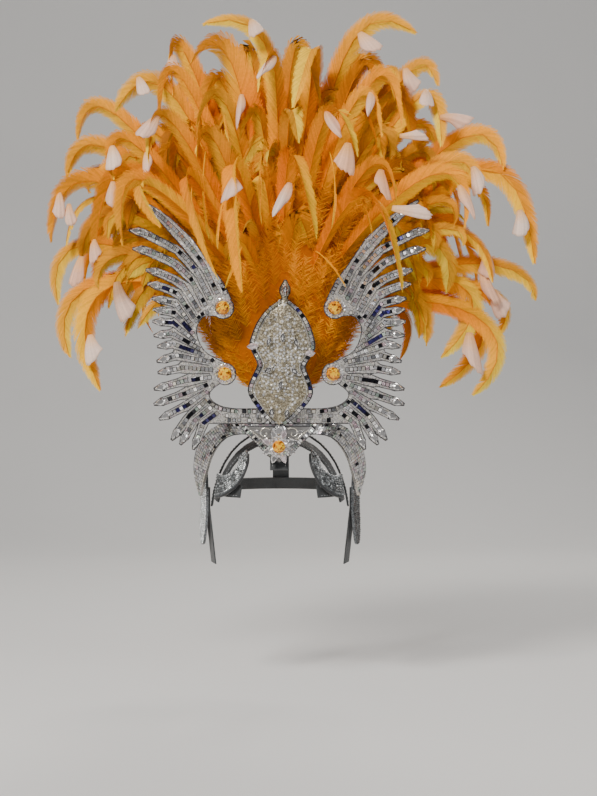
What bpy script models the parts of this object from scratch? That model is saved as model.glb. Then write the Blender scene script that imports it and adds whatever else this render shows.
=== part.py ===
"""Carnival feather headdress: a cage of straps, a jewelled front and a fountain of feathers.

Metres, +Z up, and the front faces -Y. The origin is the seat on the crown of the head, in the middle of the
underside of the crown strap. Left and right are as seen from the front.
"""

import math

import bmesh
import bpy
from mathutils import Vector
from mathutils.geometry import delaunay_2d_cdt

# Gaps between pieces
CLEARANCE = 0.0003
STRAP_GAP = 0.0007

# Cage of straps on the head
HEAD_HALF_WIDTH = 0.080
HEAD_HALF_DEPTH = 0.098
HEAD_RISE = 0.118
HEAD_SQUARENESS = 2.3
STRAP_WIDTH = 0.014
STRAP_THICKNESS = 0.002
HEAD_BAND_LEVEL = 0.072
CROWN_STRAP_SWEEP = math.radians(78)
BROW_STRAP_SWEEP = math.radians(72)
BROW_STRAP_FORWARD = 0.42
CENTRE_STRAP_FRONT = math.radians(54)
CENTRE_STRAP_BACK = math.radians(66)

# Flat front that the jewelled plates hang on
FRONT_REACH = 0.082
SPINE_WIDTH = 0.022
SPINE_THICKNESS = 0.008
SPINE_TOP = 0.140
SPINE_FOOT = 0.034
SPINE_FOOT_START = math.radians(18)
FLAT_MARGIN = 0.0022

# Wings
WING_REACH = 0.167
WING_RISE = 0.2586
WING_SWEEP_BACK = 0.020
WING_THICKNESS = 0.004
WING_STEM_LOW = 0.0095
WING_STEM_HIGH = 0.026
WING_STEM_END = 0.011
WING_STEM_SHARE = 0.30
RAY_WIDTH = 0.0094
RAY_POINT = 0.0012

# Stones
TIP_STONE_LENGTH = 0.0150
TIP_STONE_WIDTH = 0.0084
TIP_STONE_HEIGHT = 0.0042
JEWEL_RADIUS = 0.0080
JEWEL_HEIGHT = 0.0060
JEWEL_GROOVE = 0.00032
HALO_RADIUS = 0.0115
HALO_HEIGHT = 0.0028
HALO_BEADS = 12
HALO_BEAD_DEPTH = 0.06
HALO_MARGIN = 0.0006

# Medallion
MEDALLION_BOTTOM = 0.0090
MEDALLION_HEIGHT = 0.1590
MEDALLION_HALF_WIDTH = 0.0360
MEDALLION_THICKNESS = 0.0040
MEDALLION_DOME = 0.0045
MEDALLION_RIM_RISE = 0.0016
MEDALLION_LEAN = math.radians(2.6)
MARQUISE_LENGTH = 0.0150
MARQUISE_WIDTH = 0.0075
MARQUISE_HEIGHT = 0.0035

# Bandeau: crescents, brow plate and flower
BANDEAU_CURL = 0.060
CRESCENT_REACH = 0.0965
CRESCENT_DROP = 0.0740
CRESCENT_THICKNESS = 0.0030
BROW_HALF_WIDTH = 0.0400
BROW_TOP = 0.0065
BROW_DEPTH = 0.0400
BROW_THICKNESS = 0.0030
FLOWER_LEVEL = -0.0160
FLOWER_RADIUS = 0.0200
FLOWER_PETALS = 8
PETAL_HEIGHT = 0.0040
FLOWER_STONE_RADIUS = 0.0073
FLOWER_STONE_HEIGHT = 0.0050

# Temples and ears
LEAF_REACH = 0.0745
LEAF_DROP = 0.0750
LEAF_THICKNESS = 0.0030
FLAP_TOP = 0.042
FLAP_LENGTH = 0.092
FLAP_WIDTH = 0.034
FLAP_THICKNESS = 0.0030
FLAP_FLARE = 0.24
FLAP_SPLAY = 0.05
FLAP_ROUNDNESS = 0.8
TAB_TOP = 0.066
TAB_LENGTH = 0.089
TAB_WIDTH = 0.026
TAB_THICKNESS = 0.0015
TAB_TUCK = 0.11

# Plume
PLUME_REACH = 0.295
PLUME_RISE = 0.474
PLUME_DEPTH = 0.125
FLUFF_BOTTOM = 0.032
FLUFF_HEIGHT = 0.262
FLUFF_HALF_WIDTH = 0.092
FLUFF_HALF_DEPTH = 0.040
FLUFF_LOCKS = 11
FLUFF_LOCK_DEPTH = 0.13
FEATHER_WIDTH = 0.021
FEATHER_THICKNESS = 0.0030
FEATHER_APEX_WAY = 0.68
FEATHER_ROOT_LOW = 0.080
FEATHER_ROOT_HIGH = 0.150
BACK_FEATHERS = 15
ROUTE_STEPS = 36

# Fan of feathers behind: its width and its levels, how it steps and how it droops, in hundredths
BACK_FAN_REACH = 66
BACK_FAN_LEVEL = 40
BACK_FAN_RISE = 44
BACK_FAN_DROOP = 16
BACK_FAN_STEP_DOWN = 8
BACK_FAN_DEPTH = 48
BACK_FAN_STEP_BACK = 14
BACK_FAN_LEAN = 34
BACK_FAN_WIDTH = 104

# Directions of a strip along the head, in radians
STRAP_STEP = math.radians(9)

# Rays of one wing, from the top down, in hundredths of the wing's reach and rise.
# columns: tip_x, tip_z, split_x, split_z, bow
# split is the bottom of the gap under the ray, and bow lifts the middle, in hundredths of the ray's length.
WING_RAYS = (
    (92.6, 100.0, 50.5, 68.7, 5),
    (100.0, 87.4, 54.9, 66.4, 11),
    (97.6, 79.3, 58.5, 63.5, 10),
    (88.6, 70.0, 65.0, 61.2, 6),
    (87.4, 64.0, 66.8, 57.0, 4),
    (84.4, 57.6, 68.3, 53.4, 2),
    (83.6, 52.9, 68.9, 49.1, 0),
    (84.0, 47.7, 70.0, 44.9, 0),
    (83.2, 41.5, 70.4, 40.2, 0),
    (80.8, 36.7, 69.5, 35.6, 0),
    (81.2, 30.3, 64.5, 30.5, 0),
    (80.5, 25.5, 60.0, 25.0, 0),
    (83.1, 18.4, 61.5, 19.4, 0),
    (83.1, 11.8, 59.5, 14.4, 0),
    (79.5, 5.4, 59.5, 9.3, 0),
    (71.2, -3.5, 57.2, 6.3, 0),
    (65.4, -5.4, 52.8, 4.8, 0),
    (56.7, -7.5, 46.5, 3.7, 0),
)

# Inner edge of the top ray, from the upper jewel to where the ray begins, in hundredths of reach and rise.
WING_SHOULDER = ((31.6, 57.0), (37.0, 64.2), (44.3, 70.4))

# Notch between the two jewels, from the lower one to the upper one, in hundredths of reach and rise.
WING_NOTCH = ((43.0, 31.7), (50.0, 35.2), (54.0, 40.6), (54.3, 45.6), (50.3, 49.4), (44.6, 50.3))

# Edge from the stem up to the lower jewel, in hundredths of reach and rise.
WING_ARMPIT = ((28.0, 10.0), (36.0, 10.7), (41.6, 12.2), (45.5, 14.4), (45.8, 16.9), (42.6, 19.2))

# Centres of the upper and the lower jewel, in hundredths of reach and rise.
UPPER_JEWEL = (36.9, 53.2)
LOWER_JEWEL = (35.6, 24.9)

# Points along the edge of the dagger that is the top ray, and its width there in ray widths.
# columns: way, width
DAGGER_STATIONS = ((0.34, 1.5), (0.66, 1.2), (0.86, 0.7))

# Half a pear shape from its point to its round end, in shares of its length and half width.
# columns: back, out
PEAR_SHARES = ((0.30, 0.55), (0.62, 1.0), (0.88, 0.74))

# Half a marquise shape from its point, in shares of its length and width.
# columns: ahead, out
MARQUISE_SHARES = ((0.5, 0.0), (0.27, 0.36), (0.0, 0.5), (-0.27, 0.36))

# Medallion outline from the top down.
# columns: level, half_width, in hundredths of the height and of the half width
MEDALLION_ROWS = (
    (100.0, 4.0),
    (95.0, 17.0),
    (91.0, 17.0),
    (87.5, 10.0),
    (84.0, 26.0),
    (79.0, 53.0),
    (70.0, 80.0),
    (60.0, 96.0),
    (53.5, 100.0),
    (46.0, 84.0),
    (40.5, 73.0),
    (34.0, 84.0),
    (25.5, 98.0),
    (19.0, 95.0),
    (11.0, 70.0),
    (4.0, 42.0),
    (0.0, 20.0),
)

# Marquise stones on the medallion.
# columns: side, level, turn, size
# side and level in hundredths of the half width and height, turn in degrees from upright, size in hundredths
MEDALLION_STONES = (
    (0.0, 93.0, 0.0, 100.0),
    (0.0, 60.0, 0.0, 92.0),
    (-42.0, 57.0, 14.0, 80.0),
    (42.0, 57.0, -14.0, 80.0),
    (-40.0, 37.0, 48.0, 92.0),
    (40.0, 37.0, -48.0, 92.0),
    (0.0, 27.0, 0.0, 92.0),
    (-23.0, 8.0, -12.0, 86.0),
    (23.0, 8.0, 12.0, 86.0),
)

# Crescent from its root at the middle to its tip.
# columns: outer_x, outer_z, inner_x, inner_z, in hundredths of the reach and the drop
CRESCENT_ROWS = (
    (1.0, 12.4, 1.0, -5.0),
    (22.0, 12.4, 22.0, -5.0),
    (48.0, 12.4, 42.0, -3.0),
    (69.5, 10.0, 60.0, -9.0),
    (84.5, -3.7, 71.3, -24.0),
    (94.8, -21.0, 78.8, -41.0),
    (100.0, -47.7, 83.0, -58.0),
    (99.2, -70.5, 87.5, -78.0),
    (92.6, -100.0, 91.6, -99.0),
)

# Brow plate outline, one half, in hundredths of its half width and depth, measured down from its top.
BROW_ROWS = ((100.0, 0.0), (96.0, 13.0), (64.0, 44.0), (32.0, 80.0), (0.0, 100.0))

# One petal of the flower, from its tip round to the next.
# columns: turn, out, ridge; turn in petals, out and ridge in shares of the radius and the height
PETAL_POINTS = ((0.0, 1.0, 1.0), (0.22, 0.80, 0.7), (0.5, 0.56, 0.25), (0.78, 0.80, 0.7))

# Temple leaf from its curled end to the ear.
# columns: lower_x, lower_z, upper_x, upper_z, in hundredths of the reach and the drop
LEAF_ROWS = (
    (46.0, -35.0, 49.0, -32.0),
    (46.5, -48.0, 57.0, -41.0),
    (52.5, -65.0, 60.0, -54.0),
    (63.0, -81.0, 69.0, -63.0),
    (80.0, -94.0, 81.0, -69.0),
    (95.0, -100.0, 92.0, -68.0),
)

# Mound of fluff from the bottom up.
# columns: level, half_width, half_depth, in hundredths
FLUFF_ROWS = (
    (0.0, 14.0, 18.0),
    (8.0, 48.0, 40.0),
    (17.0, 76.0, 62.0),
    (28.0, 96.0, 84.0),
    (48.0, 100.0, 98.0),
    (66.0, 100.0, 100.0),
    (82.0, 84.0, 88.0),
    (94.0, 52.0, 58.0),
    (100.0, 18.0, 22.0),
)

# Feathers that show from the front.
# columns: apex_x, apex_z, tip_x, tip_z, bow, apex_y, tip_y, width
# x in hundredths of the reach, z and bow of the rise, y of the depth (minus is forward), width of a feather's
FRONT_FEATHERS = (
    (-6, 94, -31, 97, 3, 4, -10, 92),
    (-39, 94, -41, 80, 5, 20, -4, 90),
    (-20, 90, -35, 85, 4, -12, -34, 150),
    (-45, 83, -63, 75, 5, -4, -26, 110),
    (-68, 79, -79, 70, 5, 26, 12, 90),
    (-69, 69, -82, 60, 6, 4, -10, 96),
    (-75, 60, -87, 44, 8, -10, -22, 104),
    (-58, 69, -62, 58, 6, -30, -46, 78),
    (-43, 74, -48, 61, 6, -38, -60, 84),
    (-60, 61, -69, 38, 8, -28, -44, 96),
    (-79, 33, -81, 17, 17, 10, 6, 92),
    (-72, 31, -68, 9, 17, -8, -16, 100),
    (-82, 45, -87, 30, 13, 30, 24, 88),
    (-54, 59, -57, 42, 8, -46, -70, 84),
    (-50, 57, -42, 46, 13, -66, -84, 70),
    (-34, 59, -22, 35, 8, -62, -90, 74),
    (-17, 61, -13, 31, 8, -66, -84, 92),
    (5, 64, 14, 43, 7, -62, -88, 90),
    (-2, 87, -8, 78, 4, -34, -54, 84),
    (13, 91, 5, 75, 4, -10, -40, 88),
    (30, 96, 54, 95, 3, 10, -4, 104),
    (37, 84, 46, 71, 5, -20, -42, 96),
    (51, 88, 62, 83, 5, 24, 10, 96),
    (55, 81, 62, 67, 6, 4, -18, 92),
    (30, 78, 38, 67, 6, -44, -66, 84),
    (19, 74, 29, 62, 6, -56, -80, 84),
    (74, 72, 87, 62, 6, 14, 0, 100),
    (83, 63, 98, 39, 8, 2, -12, 104),
    (65, 64, 75, 54, 7, -26, -44, 90),
    (62, 60, 68, 46, 12, -56, -70, 86),
    (36, 62, 43, 51, 7, -58, -80, 74),
    (34, 54, 45, 31, 9, -64, -88, 84),
    (74, 33, 61, 17, 18, 2, -12, 100),
    (79, 26, 61, 10, 20, 18, 6, 96),
    (82, 24, 73, 8, 20, -6, -16, 96),
    (89, 40, 100, 31, 14, 24, 16, 92),
    (85, 33, 84, 22, 17, 30, 28, 88),
    (55, 33, 58, 22, 15, 52, 58, 92),
    (51, 29, 48, 17, 15, 60, 66, 84),
    (-54, 34, -51, 24, 15, 54, 60, 92),
    (-49, 41, -60, 33, 13, 40, 46, 120),
)

# Stations along a feather.
# columns: way, width, in hundredths of the length and of the feather's width
FEATHER_STATIONS = ((0, 22), (28, 50), (48, 84), (62, 98), (76, 92), (89, 66), (100, 8))


def clear_objects():
    for item in list(bpy.data.objects):
        bpy.data.objects.remove(item, do_unlink=True)


def make_material(name, colour, roughness, metallic):
    finish = bpy.data.materials.new(name)
    finish.use_nodes = True
    shader = finish.node_tree.nodes["Principled BSDF"]
    shader.inputs["Base Color"].default_value = (*colour, 1.0)
    shader.inputs["Roughness"].default_value = roughness
    shader.inputs["Metallic"].default_value = metallic
    return finish


def add_mesh(name, vertices, faces, finish, smooth_angle=None):
    """Make one closed object from points and faces, with its faces turned outwards."""
    body = bmesh.new()
    points = [body.verts.new(vertex) for vertex in vertices]
    for face in faces:
        body.faces.new([points[index] for index in face])
    bmesh.ops.recalc_face_normals(body, faces=body.faces)
    bmesh.ops.triangulate(body, faces=[face for face in body.faces if len(face.verts) > 3])
    mesh = bpy.data.meshes.new(name)
    body.to_mesh(mesh)
    body.free()
    mesh.materials.append(finish)
    if smooth_angle is not None:
        mesh.shade_smooth()
        mesh.set_sharp_from_angle(angle=smooth_angle)
    item = bpy.data.objects.new(name, mesh)
    bpy.context.scene.collection.objects.link(item)
    return item


def smooth_line(points, steps):
    """Points of a smooth curve through the given ones, with so many steps between neighbours."""
    points = [Vector(point) for point in points]
    padded = [points[0] * 2 - points[1]] + points + [points[-1] * 2 - points[-2]]
    line = []
    for index in range(len(points) - 1):
        before, start, end, after = padded[index:index + 4]
        for step in range(steps):
            t = step / steps
            line.append(0.5 * (
                2 * start
                + (end - before) * t
                + (2 * before - 5 * start + 4 * end - after) * t ** 2
                + (3 * start - before - 3 * end + after) * t ** 3
            ))
    line.append(points[-1])
    return line


def scaled(points, reach, rise):
    """Turn hundredths of two sizes into lengths."""
    return [Vector((u * reach / 100, v * rise / 100)) for u, v in points]


def fill_outline(outline):
    """Triangles that fill a closed outline in the plane."""
    count = len(outline)
    edges = [(index, (index + 1) % count) for index in range(count)]
    filled = delaunay_2d_cdt(outline, edges, [list(range(count))], 1, 1e-7)
    return filled[0], filled[2]


def fill_ribbon(first_rail, second_rail, columns):
    """Faces between two rails of as many points, with so many columns across."""
    flat = []
    for first, second in zip(first_rail, second_rail):
        flat.extend(first.lerp(second, column / columns) for column in range(columns + 1))
    faces = []
    across = columns + 1
    for row in range(len(first_rail) - 1):
        for column in range(columns):
            corner = row * across + column
            faces.append((corner, corner + 1, corner + across + 1, corner + across))
    return flat, faces


def border_edges(faces):
    """Directed edges that only one face has."""
    edges = {}
    for face in faces:
        for start, end in zip(face, face[1:] + face[:1]):
            edges[(start, end)] = True
    return [(start, end) for start, end in edges if (end, start) not in edges]


def make_plate(name, flat, faces, place, thickness, finish):
    """Close flat faces into a plate; place turns (u, v, depth) into a point."""
    faces = [tuple(face) for face in faces]
    count = len(flat)
    back = [place(u, v, 0.0) for u, v in flat]
    front = [place(u, v, thickness) for u, v in flat]
    solid = [tuple(index + count for index in face) for face in faces]
    solid.extend(tuple(reversed(face)) for face in faces)
    for start, end in border_edges(faces):
        solid.append((start, end, end + count, start + count))
    return add_mesh(name, back + front, solid, finish)


def bent_front(reach_forward, curl, reach, sign=1.0):
    """Place points on an upright sheet, flat over the spine, that bends back by curl at its reach."""
    flat = SPINE_WIDTH / 2 + FLAT_MARGIN
    bend = curl / (reach - flat) ** 2

    def place(u, v, depth):
        outside = math.copysign(max(0.0, abs(u) - flat), u)
        slope = 2 * bend * outside
        length = math.hypot(slope, 1.0)
        x = u + depth * slope / length
        y = bend * outside ** 2 - reach_forward - depth / length
        return Vector((sign * x, y, v))

    return place


def signed_power(value, exponent):
    return math.copysign(abs(value) ** exponent, value)


def head_point(direction, layer, depth=0.0):
    """A point over the head in a direction, on a layer of straps (0 is the crown strap), raised by depth."""
    grow = layer * (STRAP_THICKNESS + STRAP_GAP)
    radii = (HEAD_HALF_WIDTH, HEAD_HALF_DEPTH, HEAD_RISE)
    direction = Vector(direction).normalized()
    shape = [signed_power(part, 2 / HEAD_SQUARENESS) for part in direction]
    normal = Vector([
        signed_power(part, HEAD_SQUARENESS - 1) / radius
        for part, radius in zip(shape, radii)
    ]).normalized()
    point = Vector([part * radius for part, radius in zip(shape, radii)])
    return point + normal * (grow + depth) - Vector((0.0, 0.0, HEAD_RISE))


def make_strap(name, directions, layer, finish):
    """Make a strap from pairs of directions, one pair for the two edges at each step along it."""
    flat = []
    for first, second in directions:
        flat.extend((Vector(first), (Vector(first) + Vector(second)) / 2, Vector(second)))
    faces = []
    for row in range(len(directions) - 1):
        for column in range(2):
            corner = row * 3 + column
            faces.append((corner, corner + 1, corner + 4, corner + 3))
    count = len(flat)
    vertices = [head_point(direction, layer) for direction in flat]
    vertices.extend(head_point(direction, layer, STRAP_THICKNESS) for direction in flat)
    solid = [tuple(index + count for index in face) for face in faces]
    solid.extend(tuple(reversed(face)) for face in faces)
    for start, end in border_edges(faces):
        solid.append((start, end, end + count, start + count))
    return add_mesh(name, vertices, solid, finish, math.radians(30))


def angle_steps(start, end):
    """Even angles from start to end, about one strap step apart."""
    count = max(2, round(abs(end - start) / STRAP_STEP))
    return [start + (end - start) * step / count for step in range(count + 1)]


def build_cage(finish):
    half = STRAP_WIDTH / 2 / HEAD_HALF_DEPTH
    crown = [
        ((math.sin(angle), -half, math.cos(angle)), (math.sin(angle), half, math.cos(angle)))
        for angle in angle_steps(-CROWN_STRAP_SWEEP, CROWN_STRAP_SWEEP)
    ]
    make_strap("crown_strap", crown, 0, finish)

    forward = [BROW_STRAP_FORWARD - half, BROW_STRAP_FORWARD + half]
    brow = [
        tuple(
            (math.sin(angle) * math.sqrt(1 - ahead ** 2), -ahead, math.cos(angle) * math.sqrt(1 - ahead ** 2))
            for ahead in forward
        )
        for angle in angle_steps(-BROW_STRAP_SWEEP, BROW_STRAP_SWEEP)
    ]
    make_strap("brow_strap", brow, 0, finish)

    half = STRAP_WIDTH / 2 / HEAD_HALF_WIDTH
    centre = [
        ((-half, -math.sin(angle), math.cos(angle)), (half, -math.sin(angle), math.cos(angle)))
        for angle in angle_steps(-CENTRE_STRAP_BACK, CENTRE_STRAP_FRONT)
    ]
    make_strap("centre_strap", centre, 1, finish)

    half = STRAP_WIDTH / 2 / HEAD_RISE
    level = 1 - HEAD_BAND_LEVEL / HEAD_RISE
    start = math.acos(min(1.0, BROW_STRAP_FORWARD + 2 * half))
    band = []
    for angle in angle_steps(-start, math.pi + start):
        edges = []
        for height in (level - half, level + half):
            around = math.sqrt(1 - height ** 2)
            edges.append((math.cos(angle) * around, math.sin(angle) * around, height))
        band.append(tuple(edges))
    make_strap("head_band", band, -1, finish)


def build_spine(finish):
    """Make the bracket that stands on the centre strap, as an outline in the YZ plane drawn out along X."""
    foot = []
    for angle in angle_steps(SPINE_FOOT_START, CENTRE_STRAP_FRONT):
        point = head_point((0.0, -math.sin(angle), math.cos(angle)), 2)
        if point.z > -SPINE_FOOT:
            foot.append((point.y, point.z))
    front = -FRONT_REACH
    back = front + SPINE_THICKNESS
    toe_y, toe_z = foot[0]
    gusset = 4 * SPINE_THICKNESS
    toe = SPINE_THICKNESS / 2
    outline = foot + [
        (front, foot[-1][1]),
        (front, SPINE_TOP),
        (back, SPINE_TOP),
        (back, toe_z + gusset),
        (toe_y, toe_z + toe),
    ]
    flat, faces = fill_outline([Vector(point) for point in outline])

    def place(y, z, depth):
        return Vector((depth - SPINE_WIDTH / 2, y, z))

    make_plate("spine", flat, faces, place, SPINE_WIDTH, finish)


def ray_frame(index):
    """The base, the tip, the split below and the bow of one ray of a wing."""
    tip_x, tip_z, split_x, split_z, bow = WING_RAYS[index]
    above = WING_SHOULDER[-1] if index == 0 else WING_RAYS[index - 1][2:4]
    first, split, tip = scaled((above, (split_x, split_z), (tip_x, tip_z)), WING_REACH, WING_RISE)
    return (first + split) / 2, tip, split, bow


def ray_point(index, way):
    """The point and the direction along a ray's middle line, at a way from 0 at its base to 1 at its tip."""
    base, tip, _, bow = ray_frame(index)
    run = tip - base
    lift = Vector((-run.y, run.x)) * bow / 100
    point = base + run * way + lift * 4 * way * (1 - way)
    direction = (run + lift * 4 * (1 - 2 * way)).normalized()
    return point, direction


def ray_outline(index):
    """Points of one ray's edge, up its first side, round its tip and down its second side."""
    base, tip, _, _ = ray_frame(index)
    stone = TIP_STONE_LENGTH / (tip - base).length
    if index == 0:
        stations = DAGGER_STATIONS
    else:
        stations = ((max(0.08, (1 - stone) * 0.45), 1.0), (1 - stone * 0.98, 0.92), (1 - stone * 0.66, 0.98))
    sides = ([], [])
    for way, share in stations:
        point, direction = ray_point(index, way)
        across = Vector((-direction.y, direction.x)) * RAY_WIDTH / 2 * share
        sides[0].append(point + across)
        sides[1].append(point - across)
    point, direction = ray_point(index, 1.0)
    across = Vector((-direction.y, direction.x)) * RAY_POINT
    return sides[0] + [point + across, point - across] + list(reversed(sides[1]))


def jewel_centres():
    return scaled((UPPER_JEWEL, LOWER_JEWEL), WING_REACH, WING_RISE)


def arc_points(centre, radius, start, end, count):
    angles = [math.radians(start + (end - start) * step / (count - 1)) for step in range(count)]
    return [centre + Vector((math.cos(angle), math.sin(angle))) * radius for angle in angles]


def wing_outline():
    """The closed edge of one wing, in the plane, on the side of +X."""
    upper, lower = jewel_centres()
    seat = HALO_RADIUS + HALO_MARGIN
    outline = smooth_line(scaled(WING_SHOULDER, WING_REACH, WING_RISE), 2)
    for index in range(len(WING_RAYS)):
        outline.extend(ray_outline(index))
        outline.append(ray_frame(index)[2])
    stem_radius = (WING_STEM_HIGH - WING_STEM_LOW) / 2
    stem_middle = Vector((WING_STEM_END + stem_radius, WING_STEM_LOW + stem_radius))
    outline.append(Vector((WING_REACH * WING_STEM_SHARE, WING_STEM_LOW)))
    outline.extend(arc_points(stem_middle, stem_radius, -90, -270, 7))
    armpit = smooth_line(scaled(WING_ARMPIT, WING_REACH, WING_RISE), 2)
    outline.extend(armpit)
    outline.extend(arc_points(lower, seat, -62, -268, 10))
    outline.extend(smooth_line(scaled(WING_NOTCH, WING_REACH, WING_RISE), 2)[1:-1])
    outline.extend(arc_points(upper, seat, -48, -228, 9))
    return outline


def build_wings(finish):
    flat, faces = fill_outline(wing_outline())
    for side, sign in (("left", -1.0), ("right", 1.0)):
        place = bent_front(FRONT_REACH + CLEARANCE, WING_SWEEP_BACK, WING_REACH, sign)
        make_plate("wing_" + side, flat, faces, place, WING_THICKNESS, finish)


def cut_stone(name, outline, place, base, height, finish):
    """A stone with a flat back, a girdle, a ring of crown facets and a table."""
    middle = sum(outline, Vector((0.0, 0.0))) / len(outline)
    rings = ((1.0, 0.0), (1.0, 0.3), (0.52, 1.0))
    count = len(outline)
    vertices = []
    for share, level in rings:
        for point in outline:
            u, v = middle.lerp(point, share)
            vertices.append(place(u, v, base + height * level))
    faces = [tuple(range(count))[::-1], tuple(range(2 * count, 3 * count))]
    for ring in range(2):
        for index in range(count):
            following = (index + 1) % count
            low, high = ring * count, (ring + 1) * count
            faces.append((low + index, low + following, high + following, high + index))
    return add_mesh(name, vertices, faces, finish)


def pear_outline(tip, direction):
    """Eight points of a pear shape that ends at tip, seen along its direction."""
    across = Vector((-direction.y, direction.x))
    half = TIP_STONE_WIDTH / 2
    mirrored = [(back, -out) for back, out in reversed(PEAR_SHARES)]
    shares = [(0.0, 0.0), *PEAR_SHARES, (1.0, 0.0), *mirrored]
    return [tip - direction * TIP_STONE_LENGTH * back + across * half * out for back, out in shares]


def build_tip_stones(finish):
    base = WING_THICKNESS + CLEARANCE
    for side, sign in (("left", -1.0), ("right", 1.0)):
        place = bent_front(FRONT_REACH + CLEARANCE, WING_SWEEP_BACK, WING_REACH, sign)
        for index in range(1, len(WING_RAYS)):
            tip, direction = ray_point(index, 1.0)
            outline = pear_outline(tip, direction)
            name = f"tip_stone_{side}_{index + 1:02d}"
            cut_stone(name, outline, place, base, TIP_STONE_HEIGHT, finish)


def jewel_rings(radius, height, halo_radius, halo_height):
    """Rings of a round stone in its halo. columns: radius, height, bead"""
    groove = radius + JEWEL_GROOVE
    return (
        (halo_radius, 0.0, 0.4),
        (halo_radius, halo_height * 0.6, 1.0),
        ((groove + halo_radius) / 2, halo_height, 0.6),
        (groove, halo_height * 0.55, 0.0),
        (radius, height * 0.55, 0.0),
        (radius * 0.58, height, 0.0),
    )


def build_jewels(finish):
    """Round stones, each fused to its halo of beads."""
    sectors = HALO_BEADS * 2
    for side, sign in (("left", -1.0), ("right", 1.0)):
        place = bent_front(FRONT_REACH + CLEARANCE, WING_SWEEP_BACK, WING_REACH, sign)
        for level, centre in zip(("upper", "lower"), jewel_centres()):
            rings = jewel_rings(JEWEL_RADIUS, JEWEL_HEIGHT, HALO_RADIUS, HALO_HEIGHT)
            vertices = []
            for radius, height, bead in rings:
                for sector in range(sectors):
                    angle = 2 * math.pi * sector / sectors
                    swell = radius * (1 - HALO_BEAD_DEPTH * bead * (sector % 2))
                    u = centre.x + swell * math.cos(angle)
                    v = centre.y + swell * math.sin(angle)
                    vertices.append(place(u, v, WING_THICKNESS + CLEARANCE + height))
            last = (len(rings) - 1) * sectors
            faces = [tuple(range(sectors))[::-1], tuple(range(last, last + sectors))]
            for ring in range(len(rings) - 1):
                for sector in range(sectors):
                    following = (sector + 1) % sectors
                    low, high = ring * sectors, (ring + 1) * sectors
                    faces.append((low + sector, low + following, high + following, high + sector))
            add_mesh(f"wing_jewel_{side}_{level}", vertices, faces, finish)


def medallion_place(u, v, depth):
    """Place a point of the leaning medallion, which lies in front of the wing stems."""
    turned_x = u * math.cos(MEDALLION_LEAN) + v * math.sin(MEDALLION_LEAN)
    turned_z = v * math.cos(MEDALLION_LEAN) - u * math.sin(MEDALLION_LEAN)
    back = -FRONT_REACH - WING_THICKNESS - 2 * CLEARANCE
    return Vector((turned_x, back - depth, MEDALLION_BOTTOM + turned_z))


def add_cutter(name, item, collection):
    """Turn an object into a hidden operand of a Boolean."""
    item.name = name
    item.hide_render = True
    item.display_type = "WIRE"
    bpy.context.scene.collection.objects.unlink(item)
    collection.objects.link(item)


def join_collection(item, collection):
    union = item.modifiers.new("union", "BOOLEAN")
    union.operation = "UNION"
    union.solver = "EXACT"
    union.operand_type = "COLLECTION"
    union.collection = collection


def new_collection(name):
    collection = bpy.data.collections.new(name)
    bpy.context.scene.collection.children.link(collection)
    return collection


def marquise_outline(centre, turn, length, width):
    along = Vector((math.sin(turn), math.cos(turn)))
    across = Vector((along.y, -along.x))
    shares = [*MARQUISE_SHARES, *[(-ahead, -out) for ahead, out in MARQUISE_SHARES]]
    return [centre + along * length * ahead + across * width * out for ahead, out in shares]


def build_medallion(finish):
    rows = smooth_line([Vector(row) for row in MEDALLION_ROWS], 2)
    columns = (-1.0, -0.92, -0.82, 0.0, 0.82, 0.92, 1.0)
    flat = []
    reliefs = []
    for level, half in rows:
        v = MEDALLION_HEIGHT * level / 100
        half_width = MEDALLION_HALF_WIDTH * max(half, 4.0) / 100
        for share in columns:
            flat.append(Vector((share * half_width, v)))
            dome = MEDALLION_DOME * min(1.0, half / 70)
            reliefs.append({0.0: dome, 0.92: MEDALLION_RIM_RISE}.get(abs(share), 0.0))
    across = len(columns)
    faces = []
    for row in range(len(rows) - 1):
        for column in range(across - 1):
            corner = row * across + column
            faces.append((corner, corner + 1, corner + across + 1, corner + across))
    count = len(flat)
    last = (len(rows) - 1) * across
    loop = list(range(across))
    loop.extend(row * across + across - 1 for row in range(1, len(rows)))
    loop.extend(range(last + across - 2, last - 1, -1))
    loop.extend(row * across for row in range(len(rows) - 2, 0, -1))
    vertices = [medallion_place(u, v, MEDALLION_THICKNESS + relief) for (u, v), relief in zip(flat, reliefs)]
    vertices.extend(medallion_place(*flat[index], 0.0) for index in loop)
    ring = len(loop)
    solid = list(faces)
    solid.append(tuple(range(count, count + ring)))
    for step in range(ring):
        following = (step + 1) % ring
        solid.append((loop[step], loop[following], count + following, count + step))
    medallion = add_mesh("medallion", vertices, solid, finish)

    stones = new_collection("medallion_stones")
    for index, (side, level, turn, size) in enumerate(MEDALLION_STONES):
        centre = Vector((MEDALLION_HALF_WIDTH * side / 100, MEDALLION_HEIGHT * level / 100))
        length = MARQUISE_LENGTH * size / 100
        width = MARQUISE_WIDTH * size / 100
        outline = marquise_outline(centre, math.radians(turn), length, width)
        base = MEDALLION_THICKNESS / 2
        height = MEDALLION_THICKNESS / 2 + MEDALLION_DOME + MARQUISE_HEIGHT * size / 100
        stone = cut_stone("stone", outline, medallion_place, base, height, finish)
        add_cutter(f"medallion_stone_{index}", stone, stones)
    join_collection(medallion, stones)


def crescent_place(sign=1.0, layers=0.0):
    return bent_front(FRONT_REACH + CLEARANCE + layers, BANDEAU_CURL, CRESCENT_REACH, sign)


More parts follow.
